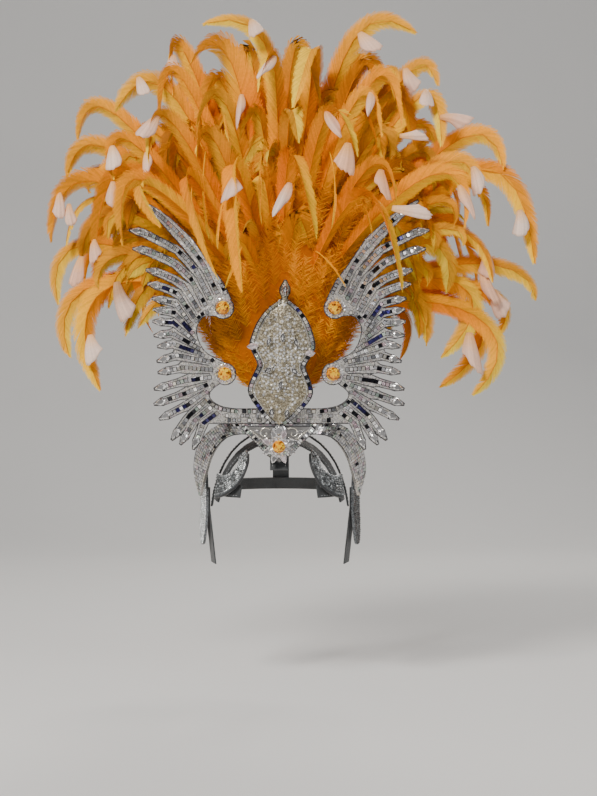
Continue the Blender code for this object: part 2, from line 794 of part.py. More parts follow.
def build_crescents(finish):
    outer = smooth_line(scaled([row[:2] for row in CRESCENT_ROWS], CRESCENT_REACH, CRESCENT_DROP), 2)
    inner = smooth_line(scaled([row[2:] for row in CRESCENT_ROWS], CRESCENT_REACH, CRESCENT_DROP), 2)
    flat, faces = fill_ribbon(outer, inner, 2)
    for side, sign in (("left", -1.0), ("right", 1.0)):
        make_plate("crescent_" + side, flat, faces, crescent_place(sign), CRESCENT_THICKNESS, finish)


def brow_layers():
    return CRESCENT_THICKNESS + STRAP_GAP


def build_brow_plate(finish):
    half = [
        Vector((BROW_HALF_WIDTH * u / 100, BROW_TOP - BROW_DEPTH * v / 100))
        for u, v in BROW_ROWS
    ]
    edge = smooth_line(half, 2)
    low = edge + [Vector((-point.x, point.y)) for point in reversed(edge[:-1])]
    rail_low = [point for point in low if point.y < BROW_TOP - 1e-6]
    rail_high = [Vector((point.x, BROW_TOP)) for point in rail_low]
    flat, faces = fill_ribbon(rail_low, rail_high, 2)
    make_plate("brow_plate", flat, faces, crescent_place(1.0, brow_layers()), BROW_THICKNESS, finish)


def build_flower(petal_finish, stone_finish):
    centre = Vector((0.0, FLOWER_LEVEL))
    place = crescent_place(1.0, brow_layers() + BROW_THICKNESS + CLEARANCE)
    vertices = []
    for share, level in ((1.0, 0.0), (1.0, 0.25), (0.55, 1.0)):
        for petal in range(FLOWER_PETALS):
            for turn, out, ridge in PETAL_POINTS:
                angle = 2 * math.pi * (petal + 0.5 + turn) / FLOWER_PETALS
                radius = FLOWER_RADIUS * out * share
                height = PETAL_HEIGHT * level if share == 1.0 else PETAL_HEIGHT * (0.55 + 0.45 * ridge)
                point = centre + Vector((math.sin(angle), math.cos(angle))) * radius
                vertices.append(place(point.x, point.y, height))
    count = FLOWER_PETALS * len(PETAL_POINTS)
    middle = len(vertices)
    vertices.append(place(centre.x, centre.y, PETAL_HEIGHT))
    faces = [tuple(range(count))[::-1]]
    for index in range(count):
        following = (index + 1) % count
        for low, high in ((0, count), (count, 2 * count)):
            faces.append((low + index, low + following, high + following, high + index))
        faces.append((2 * count + index, 2 * count + following, middle))
    add_mesh("flower_petals", vertices, faces, petal_finish)

    sectors = 12
    ring = [
        centre + Vector((math.cos(angle), math.sin(angle))) * FLOWER_STONE_RADIUS
        for angle in [2 * math.pi * step / sectors for step in range(sectors)]
    ]
    cut_stone("flower_stone", ring, place, PETAL_HEIGHT + CLEARANCE, FLOWER_STONE_HEIGHT, stone_finish)


def build_temple_leaves(finish):
    lower = smooth_line(scaled([row[:2] for row in LEAF_ROWS], LEAF_REACH, LEAF_DROP), 2)
    upper = smooth_line(scaled([row[2:] for row in LEAF_ROWS], LEAF_REACH, LEAF_DROP), 2)
    flat, faces = fill_ribbon(lower, upper, 2)
    grow = STRAP_THICKNESS + STRAP_GAP
    width, depth, rise = HEAD_HALF_WIDTH + grow, HEAD_HALF_DEPTH + grow, HEAD_RISE + grow
    for side, sign in (("left", -1.0), ("right", 1.0)):

        def place(u, v, raised):
            across = u / width
            up = (v + HEAD_RISE) / rise
            ahead = max(0.0, 1 - abs(across) ** HEAD_SQUARENESS - abs(up) ** HEAD_SQUARENESS)
            ahead = ahead ** (1 / HEAD_SQUARENESS)
            power = HEAD_SQUARENESS - 1
            normal = Vector((across ** power / width, -ahead ** power / depth, up ** power / rise))
            point = Vector((u, -ahead * depth, v)) + normal.normalized() * raised
            return Vector((sign * point.x, point.y, point.z))

        make_plate("temple_leaf_" + side, flat, faces, place, LEAF_THICKNESS, finish)


def side_place(base, flare, splay, top, sign):
    """Place a plate beside the ear: flare opens it to the back, and splay moves its foot out."""
    front = -STRAP_WIDTH / 2

    def place(y, z, depth):
        x = base + (y - front) * flare + max(0.0, top - z) * splay + depth
        return Vector((sign * x, y, z))

    return place


def build_ear_pieces(flap_finish, tab_finish):
    front = -STRAP_WIDTH / 2
    downward = (math.sin(CROWN_STRAP_SWEEP), 0.0, math.cos(CROWN_STRAP_SWEEP))
    strap_end = head_point(downward, 0, STRAP_THICKNESS)
    seat = strap_end.x + CLEARANCE
    tab_bend = strap_end.z - STRAP_THICKNESS
    for side, sign in (("left", -1.0), ("right", 1.0)):
        levels = (-TAB_TOP, tab_bend, -TAB_TOP - TAB_LENGTH)
        front_rail = [Vector((front, level)) for level in levels]
        back_rail = [Vector((front + TAB_WIDTH, level)) for level in levels]
        flat, faces = fill_ribbon(front_rail, back_rail, 1)
        place = side_place(seat, FLAP_FLARE, -TAB_TUCK, tab_bend, sign)
        make_plate("cheek_tab_" + side, flat, faces, place, TAB_THICKNESS, tab_finish)

        middle = Vector((front + FLAP_WIDTH / 2, -FLAP_TOP - FLAP_LENGTH / 2))
        sectors = 20
        outline = []
        for sector in range(sectors):
            angle = 2 * math.pi * sector / sectors
            outline.append(middle + Vector((
                signed_power(math.cos(angle), FLAP_ROUNDNESS) * FLAP_WIDTH / 2,
                signed_power(math.sin(angle), FLAP_ROUNDNESS) * FLAP_LENGTH / 2,
            )))
        flat, faces = fill_outline(outline)
        place = side_place(seat + TAB_THICKNESS + CLEARANCE, FLAP_FLARE, FLAP_SPLAY, middle.y, sign)
        make_plate("ear_flap_" + side, flat, faces, place, FLAP_THICKNESS, flap_finish)


def fluff_centre():
    return -FRONT_REACH + SPINE_THICKNESS + CLEARANCE


def build_fluff(finish):
    """The mound of short feathers, with upright locks, whose front stands just behind the spine."""
    sectors = FLUFF_LOCKS * 2
    rows = FLUFF_ROWS
    vertices = []
    for level, width, depth in rows:
        z = FLUFF_BOTTOM + FLUFF_HEIGHT * level / 100
        half_width = FLUFF_HALF_WIDTH * width / 100
        half_depth = FLUFF_HALF_DEPTH * depth / 100
        for sector in range(sectors):
            angle = 2 * math.pi * sector / sectors
            swell = 1 - FLUFF_LOCK_DEPTH * (sector % 2)
            x = half_width * swell * math.sin(angle)
            y = fluff_centre() + half_depth - half_depth * swell * math.cos(angle)
            vertices.append(Vector((x, y, z)))
    last = (len(rows) - 1) * sectors
    faces = [tuple(range(sectors))[::-1], tuple(range(last, last + sectors))]
    for row in range(len(rows) - 1):
        for sector in range(sectors):
            following = (sector + 1) % sectors
            low, high = row * sectors, (row + 1) * sectors
            faces.append((low + sector, low + following, high + following, high + sector))
    return add_mesh("plume", vertices, faces, finish)


def feather_route(row):
    """Handles of a feather's middle line, from its root in the fluff over its apex to its tip."""
    apex_x, apex_z, tip_x, tip_z, bow, apex_y, tip_y, width = row
    reach, rise, depth = PLUME_REACH / 100, PLUME_RISE / 100, PLUME_DEPTH / 100
    middle_y = fluff_centre() + FLUFF_HALF_DEPTH
    height = FEATHER_ROOT_LOW + (FEATHER_ROOT_HIGH - FEATHER_ROOT_LOW) * max(0.0, apex_z) / 100
    root = Vector((apex_x * reach * 0.10, middle_y + apex_y * depth * 0.10, height))
    apex = Vector((apex_x * reach, middle_y + apex_y * depth, apex_z * rise))
    tip = Vector((tip_x * reach, middle_y + tip_y * depth, tip_z * rise))
    first = root.lerp(apex, 0.55) + Vector((0.0, 0.0, bow * rise))
    late, early = FEATHER_APEX_WAY, 1 - FEATHER_APEX_WAY
    second = apex - root * early ** 3 - first * (3 * early ** 2 * late) - tip * late ** 3
    return root, first, second / (3 * early * late ** 2), tip


def curve_line(handles, steps):
    """Points along the cubic curve of four handles."""
    start, first, second, end = handles
    line = []
    for step in range(steps + 1):
        t = step / steps
        rest = 1 - t
        line.append(start * rest ** 3 + first * 3 * rest ** 2 * t + second * 3 * rest * t ** 2 + end * t ** 3)
    return line


def back_feather_rows():
    """Rows, like the table's, of the feathers behind, which fan out evenly and droop to the back."""
    rows = []
    for index in range(BACK_FEATHERS):
        spread = 2 * index / (BACK_FEATHERS - 1) - 1
        stagger = index % 2
        step_down = BACK_FAN_STEP_DOWN * stagger
        apex_x = BACK_FAN_REACH * math.sin(spread * 1.45)
        apex_z = BACK_FAN_LEVEL + (BACK_FAN_RISE - step_down) * math.cos(spread * 1.30)
        tip_x = apex_x * 1.22
        tip_z = apex_z - BACK_FAN_DROOP - step_down
        bow = 7 + 5 * abs(spread)
        apex_y = BACK_FAN_DEPTH + BACK_FAN_STEP_BACK * (stagger - abs(spread))
        tip_y = apex_y + BACK_FAN_LEAN
        rows.append((apex_x, apex_z, tip_x, tip_z, bow, apex_y, tip_y, BACK_FAN_WIDTH))
    return rows


def build_feather(row, finish):
    """A tapered blade with a ridge along its middle, lofted along its route without a twist."""
    line = curve_line(feather_route(row), ROUTE_STEPS)
    lengths = [0.0]
    for start, end in zip(line, line[1:]):
        lengths.append(lengths[-1] + (end - start).length)
    middles = []
    for way, width in FEATHER_STATIONS:
        target = lengths[-1] * way / 100
        index = max(step for step in range(len(line) - 1) if lengths[step] <= target)
        span = lengths[index + 1] - lengths[index]
        middles.append(line[index].lerp(line[index + 1], (target - lengths[index]) / span))
    vertices = []
    across = Vector((1.0, 0.0, 0.0))
    for station, (way, width) in enumerate(FEATHER_STATIONS):
        point = middles[station]
        before = middles[max(0, station - 1)]
        after = middles[min(len(middles) - 1, station + 1)]
        direction = ((after - point).normalized() + (point - before).normalized()).normalized()
        across = (across - direction * across.dot(direction)).normalized()
        normal = across.cross(direction).normalized()
        half = FEATHER_WIDTH * row[7] / 100 * width / 200
        ridge = FEATHER_THICKNESS / 2 * max(0.4, width / 100)
        vertices.extend((point + across * half, point + normal * ridge))
        vertices.extend((point - across * half, point - normal * ridge))
    faces = [(3, 2, 1, 0)]
    for station in range(len(FEATHER_STATIONS) - 1):
        low = station * 4
        high = low + 4
        for edge, ridge in ((0, 1), (2, 1), (2, 3), (0, 3)):
            faces.append((low + edge, low + ridge, high + ridge))
            faces.append((low + edge, high + ridge, high + edge))
    last = (len(FEATHER_STATIONS) - 1) * 4
    faces.append((last, last + 1, last + 2, last + 3))
    return add_mesh("feather", vertices, faces, finish)


def build_plume(finish):
    plume = build_fluff(finish)
    feathers = new_collection("feathers")
    for index, row in enumerate(list(FRONT_FEATHERS) + back_feather_rows()):
        add_cutter(f"feather_{index:02d}", build_feather(row, finish), feathers)
    join_collection(plume, feathers)


def main():
    clear_objects()
    strap_grey = make_material("strap_grey", (0.045, 0.048, 0.050), 0.55, 0.0)
    mirror_silver = make_material("mirror_silver", (0.62, 0.60, 0.59), 0.22, 1.0)
    bead_grey = make_material("bead_grey", (0.20, 0.21, 0.22), 0.40, 0.6)
    clear_stone = make_material("clear_stone", (0.86, 0.85, 0.84), 0.06, 0.0)
    amber_stone = make_material("amber_stone", (0.86, 0.30, 0.02), 0.08, 0.0)
    orange_feather = make_material("orange_feather", (0.75, 0.27, 0.01), 0.60, 0.0)
    build_cage(strap_grey)
    build_spine(strap_grey)
    build_crescents(mirror_silver)
    build_brow_plate(mirror_silver)
    build_flower(clear_stone, amber_stone)
    build_wings(mirror_silver)
    build_tip_stones(clear_stone)
    build_jewels(amber_stone)
    build_medallion(mirror_silver)
    build_temple_leaves(bead_grey)
    build_ear_pieces(bead_grey, strap_grey)
    build_plume(orange_feather)


main()
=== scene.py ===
import math
import random

import bpy
import numpy as np
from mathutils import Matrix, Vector
from mathutils.bvhtree import BVHTree


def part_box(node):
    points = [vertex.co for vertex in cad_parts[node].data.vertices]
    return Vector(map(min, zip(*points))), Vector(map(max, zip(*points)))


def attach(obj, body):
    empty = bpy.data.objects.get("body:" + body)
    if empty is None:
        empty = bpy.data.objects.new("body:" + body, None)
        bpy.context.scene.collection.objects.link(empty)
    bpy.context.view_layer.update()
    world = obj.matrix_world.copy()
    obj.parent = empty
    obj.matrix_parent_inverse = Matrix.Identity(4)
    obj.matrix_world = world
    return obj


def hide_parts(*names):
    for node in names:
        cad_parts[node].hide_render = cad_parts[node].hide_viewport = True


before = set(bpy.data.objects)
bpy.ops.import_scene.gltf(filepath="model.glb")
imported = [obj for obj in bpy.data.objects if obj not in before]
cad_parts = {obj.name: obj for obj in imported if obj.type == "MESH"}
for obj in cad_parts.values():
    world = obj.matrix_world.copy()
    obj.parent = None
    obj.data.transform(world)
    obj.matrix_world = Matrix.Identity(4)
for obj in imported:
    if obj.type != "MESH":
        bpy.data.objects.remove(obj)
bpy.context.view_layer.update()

FORWARD = Vector((0.0, -1.0, 0.0))
UP = Vector((0.0, 0.0, 1.0))
CORNERS = ((-1, -1), (-1, 1), (1, 1), (1, -1))
SIDES = (("left", -1.0), ("right", 1.0))

# The photograph: its frame, the size of a pixel on the front plates, and the pixel of the origin
PHOTO_WIDTH = 597
PHOTO_HEIGHT = 796
PIXEL = 0.00111
ORIGIN_PIXEL_X = 279
ORIGIN_PIXEL_Z = 432
CAMERA_BACK = 1.70

# Sizes of the frame's pieces that the finish follows, in metres
CLEARANCE = 0.0003
STRAP_GAP = 0.0007
STRAP_THICKNESS = 0.002
HEAD_HALF_WIDTH = 0.080
HEAD_HALF_DEPTH = 0.098
HEAD_RISE = 0.118
HEAD_SQUARENESS = 2.3
FRONT_REACH = 0.082
STRAP_WIDTH = 0.014
HEAD_BAND_LEVEL = 0.072
CROWN_STRAP_SWEEP = math.radians(78)
BROW_STRAP_SWEEP = math.radians(72)
BROW_STRAP_FORWARD = 0.42
CENTRE_STRAP_FRONT = math.radians(54)
CENTRE_STRAP_BACK = math.radians(66)
SPINE_WIDTH = 0.022
SPINE_THICKNESS = 0.008
WING_REACH = 0.167
WING_RISE = 0.2586
WING_SWEEP_BACK = 0.020
WING_THICKNESS = 0.004
RAY_WIDTH = 0.0094
TIP_STONE_LENGTH = 0.0150
TIP_STONE_WIDTH = 0.0084
TIP_STONE_HEIGHT = 0.0042
JEWEL_RADIUS = 0.0080
JEWEL_HEIGHT = 0.0060
HALO_RADIUS = 0.0115
HALO_HEIGHT = 0.0028
MEDALLION_BOTTOM = 0.0090
MEDALLION_HEIGHT = 0.1590
MEDALLION_HALF_WIDTH = 0.0360
MEDALLION_THICKNESS = 0.0040
MEDALLION_DOME = 0.0045
MEDALLION_RIM_RISE = 0.0016
MEDALLION_LEAN = math.radians(2.6)
MARQUISE_LENGTH = 0.0150
MARQUISE_WIDTH = 0.0075
MARQUISE_HEIGHT = 0.0035
BANDEAU_CURL = 0.060
CRESCENT_REACH = 0.0965
CRESCENT_DROP = 0.0740
CRESCENT_THICKNESS = 0.0030
BROW_HALF_WIDTH = 0.0400
BROW_TOP = 0.0065
BROW_DEPTH = 0.0400
BROW_THICKNESS = 0.0030
FLOWER_LEVEL = -0.0160
FLOWER_RADIUS = 0.0200
FLOWER_PETALS = 8
PETAL_HEIGHT = 0.0040
FLOWER_STONE_RADIUS = 0.0073
FLOWER_STONE_HEIGHT = 0.0050
LEAF_REACH = 0.0745
LEAF_DROP = 0.0750
LEAF_THICKNESS = 0.0030
PLUME_REACH = 0.295
PLUME_RISE = 0.474
PLUME_DEPTH = 0.125
FLUFF_BOTTOM = 0.032
FLUFF_HEIGHT = 0.262
FLUFF_HALF_WIDTH = 0.092
FLUFF_HALF_DEPTH = 0.040
FEATHER_WIDTH = 0.021
FEATHER_APEX_WAY = 0.68
FEATHER_ROOT_LOW = 0.080
FEATHER_ROOT_HIGH = 0.150
BACK_FEATHERS = 15

# Small trim
TILE = 0.0038
TILE_PITCH = 0.0044
TILE_HEIGHT = 0.0010
TILE_MARGIN = 0.0005
CRYSTAL_RADIUS = 0.0009
CRYSTAL_PITCH = 0.0019
PIPING_RADIUS = 0.00055
SEAM_RADIUS = 0.0005
EDGE_TILE_INSET = 0.0029
RAY_CRYSTAL_INSET = 0.0012
STEM_RUN = ((0.016, 0.0178), (0.066, 0.0182))
STEM_ROWS = (-0.0050, 0.0, 0.0050)
STEM_STAGGER = 0.0022
STITCH_INSET = 0.0022
STITCH_PITCH = 0.0021
STITCH_RADIUS = 0.00035
WING_GRID = 0.0029
WING_JITTER = 0.0006
HALO_STONES = 18
HALO_STONE_RADIUS = 0.00165
FLOWER_CRYSTAL = (0.0018, 0.0014)
RIM_TILE = (0.0034, 0.0036)
RIM_TILE_INSET = 0.0028
RIM_TILE_PITCH = 0.0041
RIM_TILE_HEIGHT = 0.0011
BORDER_INSET = 0.0036
BORDER_PITCH = 0.0018
BORDER_RADIUS = 0.00085
MEDALLION_BEADS = 700
MEDALLION_BEAD = (0.0013, 0.0018)
MEDALLION_GRAIN = (0.0008, 0.0011)
MEDALLION_GRID = 0.0025
MEDALLION_JITTER = 0.0005
CRESCENT_TILE = 0.0036
CRESCENT_TILE_HEIGHT = 0.0007
BROW_TILE_PITCH = 0.0026
BROW_TILE_INSET = 0.0030
BROW_TILE_HALF_LENGTH = 0.00105
BROW_TILE_HALF_WIDTH = 0.0017
BROW_TILE_HEIGHT = 0.0009
BROW_CRYSTAL_INSETS = (0.0009, 0.0054)
BROW_CRYSTAL_RADIUS = 0.0010
SCROLL_RADIUS = 0.0008
LEAF_BEAD_PITCH = 0.0021
FLAP_BEAD_PITCH = 0.0023
SMALL_BEAD = (0.0009, 0.0012)
SCALLOP_PITCH = 0.0040
SCALLOP_RADIUS = 0.0021
LEAF_PIPING_RADIUS = 0.0016

# Feathers and down
BARB_PITCH = 0.0024
BARB_LEAN = 1.7
BARB_THICKNESS = 0.00012
VANE_SHARE = 1.30
QUILL_STATIONS = 16
THIN_FEATHER_WIDTH = 0.0017
FLUFF_PLUMES = 340
FLUFF_CORE = 0.88
CORE_SECTORS = 28
CORE_LEVELS = 16
DOWN_BARBS = 26
PALE_LENGTH = 0.026
PALE_HALF_WIDTH = 0.0130
PALE_TOP = 0.0026
PALE_THICKNESS = 0.0004

# Rays of one wing, from the top down, in hundredths of the wing's reach and rise.
# columns: tip_x, tip_z, split_x, split_z, bow
WING_RAYS = (
    (92.6, 100.0, 50.5, 68.7, 5),
    (100.0, 87.4, 54.9, 66.4, 11),
    (97.6, 79.3, 58.5, 63.5, 10),
    (88.6, 70.0, 65.0, 61.2, 6),
    (87.4, 64.0, 66.8, 57.0, 4),
    (84.4, 57.6, 68.3, 53.4, 2),
    (83.6, 52.9, 68.9, 49.1, 0),
    (84.0, 47.7, 70.0, 44.9, 0),
    (83.2, 41.5, 70.4, 40.2, 0),
    (80.8, 36.7, 69.5, 35.6, 0),
    (81.2, 30.3, 64.5, 30.5, 0),
    (80.5, 25.5, 60.0, 25.0, 0),
    (83.1, 18.4, 61.5, 19.4, 0),
    (83.1, 11.8, 59.5, 14.4, 0),
    (79.5, 5.4, 59.5, 9.3, 0),
    (71.2, -3.5, 57.2, 6.3, 0),
    (65.4, -5.4, 52.8, 4.8, 0),
    (56.7, -7.5, 46.5, 3.7, 0),
)
WING_SHOULDER = ((31.6, 57.0), (37.0, 64.2), (44.3, 70.4))
WING_NOTCH = ((43.0, 31.7), (50.0, 35.2), (54.0, 40.6), (54.3, 45.6), (50.3, 49.4), (44.6, 50.3))
WING_ARMPIT = ((28.0, 10.0), (36.0, 10.7), (41.6, 12.2), (45.5, 14.4), (45.8, 16.9), (42.6, 19.2))
UPPER_JEWEL = (36.9, 53.2)
LOWER_JEWEL = (35.6, 24.9)

# Where the columns of tiles end near the jewels and the notch, from the top ray to the lowest.
COLUMN_ENDS = (
    (41.0, 60.0), (46.0, 57.0), (50.5, 54.0), (55.0, 51.5), (58.0, 47.0), (57.0, 41.0), (53.0, 35.5),
    (46.5, 30.0), (45.0, 25.0), (48.0, 20.5), (50.0, 15.5), (46.5, 11.0), (41.0, 8.0),
)

# Medallion outline from the top down, in hundredths of the height and of the half width.
# columns: level, half_width
MEDALLION_ROWS = (
    (100.0, 4.0), (95.0, 17.0), (91.0, 17.0), (87.5, 10.0), (84.0, 26.0), (79.0, 53.0), (70.0, 80.0),
    (60.0, 96.0), (53.5, 100.0), (46.0, 84.0), (40.5, 73.0), (34.0, 84.0), (25.5, 98.0), (19.0, 95.0),
    (11.0, 70.0), (4.0, 42.0), (0.0, 20.0),
)

# Marquise stones on the medallion.
# columns: side, level, turn, size
MEDALLION_STONES = (
    (0.0, 93.0, 0.0, 100.0),
    (0.0, 60.0, 0.0, 92.0),
    (-42.0, 57.0, 14.0, 80.0),
    (42.0, 57.0, -14.0, 80.0),
    (-40.0, 37.0, 48.0, 92.0),
    (40.0, 37.0, -48.0, 92.0),
    (0.0, 27.0, 0.0, 92.0),
    (-23.0, 8.0, -12.0, 86.0),
    (23.0, 8.0, 12.0, 86.0),
)

# Crescent from its root at the middle to its tip, in hundredths of the reach and the drop.
# columns: outer_x, outer_z, inner_x, inner_z
CRESCENT_ROWS = (
    (1.0, 12.4, 1.0, -5.0),
    (22.0, 12.4, 22.0, -5.0),
    (48.0, 12.4, 42.0, -3.0),
    (69.5, 10.0, 60.0, -9.0),
    (84.5, -3.7, 71.3, -24.0),
    (94.8, -21.0, 78.8, -41.0),
    (100.0, -47.7, 83.0, -58.0),
    (99.2, -70.5, 87.5, -78.0),
    (92.6, -100.0, 91.6, -99.0),
)
BROW_ROWS = ((100.0, 0.0), (96.0, 13.0), (64.0, 44.0), (32.0, 80.0), (0.0, 100.0))

# Raised scrolls on one half of the brow plate, across from the middle and down from its top, in hundredths.
BROW_SCROLLS = (
    ((24, 8), (36, 5), (47, 9), (50, 20), (42, 28), (34, 24), (36, 17)),
    ((28, 32), (40, 36), (52, 32), (64, 20), (76, 12), (84, 14)),
)

# Temple leaf from its curled end to the ear, in hundredths of the reach and the drop.
# columns: lower_x, lower_z, upper_x, upper_z
LEAF_ROWS = (
    (46.0, -35.0, 49.0, -32.0),
    (46.5, -48.0, 57.0, -41.0),
    (52.5, -65.0, 60.0, -54.0),
    (63.0, -81.0, 69.0, -63.0),
    (80.0, -94.0, 81.0, -69.0),
    (95.0, -100.0, 92.0, -68.0),
)

# Mound of fluff from the bottom up, in hundredths.
# columns: level, half_width, half_depth
FLUFF_ROWS = (
    (0.0, 14.0, 18.0),
    (8.0, 48.0, 40.0),
    (17.0, 76.0, 62.0),
    (28.0, 96.0, 84.0),
    (48.0, 100.0, 98.0),
    (66.0, 100.0, 100.0),
    (82.0, 84.0, 88.0),
    (94.0, 52.0, 58.0),
    (100.0, 18.0, 22.0),
)

# Feathers that show from the front.
# columns: apex_x, apex_z, tip_x, tip_z, bow, apex_y, tip_y, width
# x in hundredths of the reach, z and bow of the rise, y of the depth (minus is forward)
FRONT_FEATHERS = (
    (-6, 94, -31, 97, 3, 4, -10, 92),
    (-39, 94, -41, 80, 5, 20, -4, 90),
    (-20, 90, -35, 85, 4, -12, -34, 150),
    (-45, 83, -63, 75, 5, -4, -26, 110),
    (-68, 79, -79, 70, 5, 26, 12, 90),
    (-69, 69, -82, 60, 6, 4, -10, 96),
    (-75, 60, -87, 44, 8, -10, -22, 104),
    (-58, 69, -62, 58, 6, -30, -46, 78),
    (-43, 74, -48, 61, 6, -38, -60, 84),
    (-60, 61, -69, 38, 8, -28, -44, 96),
    (-79, 33, -81, 17, 17, 10, 6, 92),
    (-72, 31, -68, 9, 17, -8, -16, 100),
    (-82, 45, -87, 30, 13, 30, 24, 88),
    (-54, 59, -57, 42, 8, -46, -70, 84),
    (-50, 57, -42, 46, 13, -66, -84, 70),
    (-34, 59, -22, 35, 8, -62, -90, 74),
    (-17, 61, -13, 31, 8, -66, -84, 92),
    (5, 64, 14, 43, 7, -62, -88, 90),
    (-2, 87, -8, 78, 4, -34, -54, 84),
    (13, 91, 5, 75, 4, -10, -40, 88),
    (30, 96, 54, 95, 3, 10, -4, 104),
    (37, 84, 46, 71, 5, -20, -42, 96),
    (51, 88, 62, 83, 5, 24, 10, 96),
    (55, 81, 62, 67, 6, 4, -18, 92),
    (30, 78, 38, 67, 6, -44, -66, 84),
    (19, 74, 29, 62, 6, -56, -80, 84),
    (74, 72, 87, 62, 6, 14, 0, 100),
    (83, 63, 98, 39, 8, 2, -12, 104),
    (65, 64, 75, 54, 7, -26, -44, 90),
    (62, 60, 68, 46, 12, -56, -70, 86),
    (36, 62, 43, 51, 7, -58, -80, 74),
    (34, 54, 45, 31, 9, -64, -88, 84),
    (74, 33, 61, 17, 18, 2, -12, 100),
    (79, 26, 61, 10, 20, 18, 6, 96),
    (82, 24, 73, 8, 20, -6, -16, 96),
    (89, 40, 100, 31, 14, 24, 16, 92),
    (85, 33, 84, 22, 17, 30, 28, 88),
    (55, 33, 58, 22, 15, 52, 58, 92),
    (51, 29, 48, 17, 15, 60, 66, 84),
    (-54, 34, -51, 24, 15, 54, 60, 92),
    (-49, 41, -60, 33, 13, 40, 46, 120),
)

# Half width of a vane along a feather, from its root to its tip, in hundredths.
# columns: way, width
VANE_STATIONS = (
    (0, 14), (14, 32), (30, 60), (46, 88), (62, 100), (76, 98), (86, 84), (93, 58), (97, 32), (100, 4),
)

# Shorter feathers that fill the fan: how many, their reach, their depth and how far the tips come forward.
# columns: count, low_share, high_share, low_depth, high_depth, lean, side
# shares and depths in hundredths of the plume's; side is 0 for the front and 1 for the back
FILL_SETS = (
    (40, 48, 68, -44, -14, -20, 0),
    (54, 60, 84, -26, 16, -14, 0),
    (44, 76, 96, -6, 30, -8, 0),
    (30, 55, 78, 10, 44, 20, 1),
    (30, 68, 90, 24, 58, 20, 1),
    (20, 34, 56, 34, 56, 26, 1),
)

# Thin feathers without vanes that hang in front of the fluff, by pixels of the photograph.
# columns: root_x, root_y, middle_x, middle_y, tip_x, tip_y
THIN_FEATHERS = (
    (193, 176, 189, 223, 221, 283),
    (205, 150, 201, 205, 214, 248),
    (226, 190, 217, 226, 219, 252),
    (224, 112, 225, 128, 230, 146),
    (262, 150, 258, 190, 262, 228),
    (330, 150, 338, 190, 331, 232),
    (352, 168, 362, 200, 372, 238),
    (316, 250, 330, 262, 346, 290),
    (246, 236, 236, 262, 226, 290),
)

# Pale cut ends that lie on the feathers, by their pixels in the photograph.
# columns: pixel_x, pixel_y, turn, size, width, paleness
# turn in degrees from hanging; size, width and paleness in hundredths, where a slim width makes a sliver
PALE_ENDS = (
    (252, 6, 22, 92, 92, 82),
    (171, 42, -10, 84, 84, 92),
    (133, 68, 24, 92, 70, 92),
    (52, 188, 12, 92, 66, 96),
    (71, 204, 4, 84, 70, 80),
    (112, 146, 14, 104, 84, 86),
    (158, 118, -22, 116, 74, 96),
    (114, 182, 0, 90, 74, 66),
    (90, 334, 8, 110, 88, 96),
    (73, 258, -8, 104, 66, 82),
    (93, 238, 8, 84, 78, 80),
    (112, 278, 10, 136, 66, 96),
    (237, 184, 0, 104, 104, 100),
    (230, 144, 4, 96, 60, 52),
    (272, 184, -28, 108, 74, 48),
    (292, 184, -10, 124, 34, 100),
    (276, 56, -18, 100, 36, 100),
    (362, 20, 30, 112, 90, 84),
    (408, 50, 12, 108, 80, 90),
    (430, 78, -4, 96, 82, 92),
    (373, 92, 2, 92, 34, 86),
    (325, 114, 16, 100, 36, 90),
    (444, 112, 84, 104, 62, 92),
    (522, 206, 8, 108, 84, 96),
    (475, 166, 16, 112, 74, 84),
    (414, 156, 0, 84, 66, 70),
    (398, 142, 84, 80, 60, 80),
    (343, 152, -4, 124, 84, 50),
    (376, 178, -10, 116, 76, 50),
    (386, 214, 76, 112, 54, 96),
    (466, 296, 14, 126, 84, 94),
    (476, 334, -2, 138, 76, 86),
    (495, 232, 10, 108, 76, 80),
    (490, 264, 6, 122, 62, 66),
    (505, 280, 12, 112, 84, 94),
    (206, 108, 10, 92, 36, 86),
    (455, 190, 18, 100, 38, 84),
    (146, 150, 12, 96, 40, 80),
    (240, 86, 4, 96, 36, 80),
)

# Colours in linear light
DEEP_ORANGE = (0.62, 0.150, 0.001)
ORANGE = (0.92, 0.275, 0.001)
GOLD = (1.0, 0.440, 0.003)
YELLOW = (1.0, 0.680, 0.050)
OLIVE = (0.52, 0.205, 0.004)
PALE_PINK = (0.84, 0.52, 0.38)
PALE_WHITE = (0.90, 0.72, 0.60)
# Painted shade for the half of a vane that bends upwards, and painted light for the other half
SHADED_HALF = (0.90, 0.66, 0.50)
LIT_HALF = (1.04, 1.08, 1.10)
SILVER = (0.84, 0.82, 0.81)
WARM_SILVER = (0.88, 0.83, 0.73)
DIM_SILVER = (0.42, 0.42, 0.43)
ROSE_SILVER = (0.78, 0.60, 0.64)
GREEN_SILVER = (0.60, 0.70, 0.60)
MIRROR_BLACK = (0.012, 0.012, 0.018)
MIRROR_BLUE = (0.055, 0.045, 0.22)
MIRROR_WHITE = (0.97, 0.96, 0.95)
# Painted reflection of gold, for mirrors and stones
GOLD_REFLECTION = (0.95, 0.78, 0.42)
CHAMPAGNE = (0.44, 0.37, 0.24)
AMBER_DARK = (0.20, 0.040, 0.002)
AMBER = (0.84, 0.300, 0.003)
AMBER_BRIGHT = (1.0, 0.610, 0.020)
PIPING_DARK = (0.022, 0.021, 0.024)
BACKING = (0.030, 0.030, 0.033)
GREY = (0.30, 0.315, 0.32)
LIGHT_GREY = (0.42, 0.44, 0.45)
STITCH_GREY = (0.34, 0.35, 0.36)
LEAF_DARK = (0.02, 0.021, 0.023)

rng = random.Random(20)


def mix(first, second, share):
    return tuple(a + (b - a) * share for a, b in zip(first, second))


def dim(colour, share):
    return tuple(part * share for part in colour)


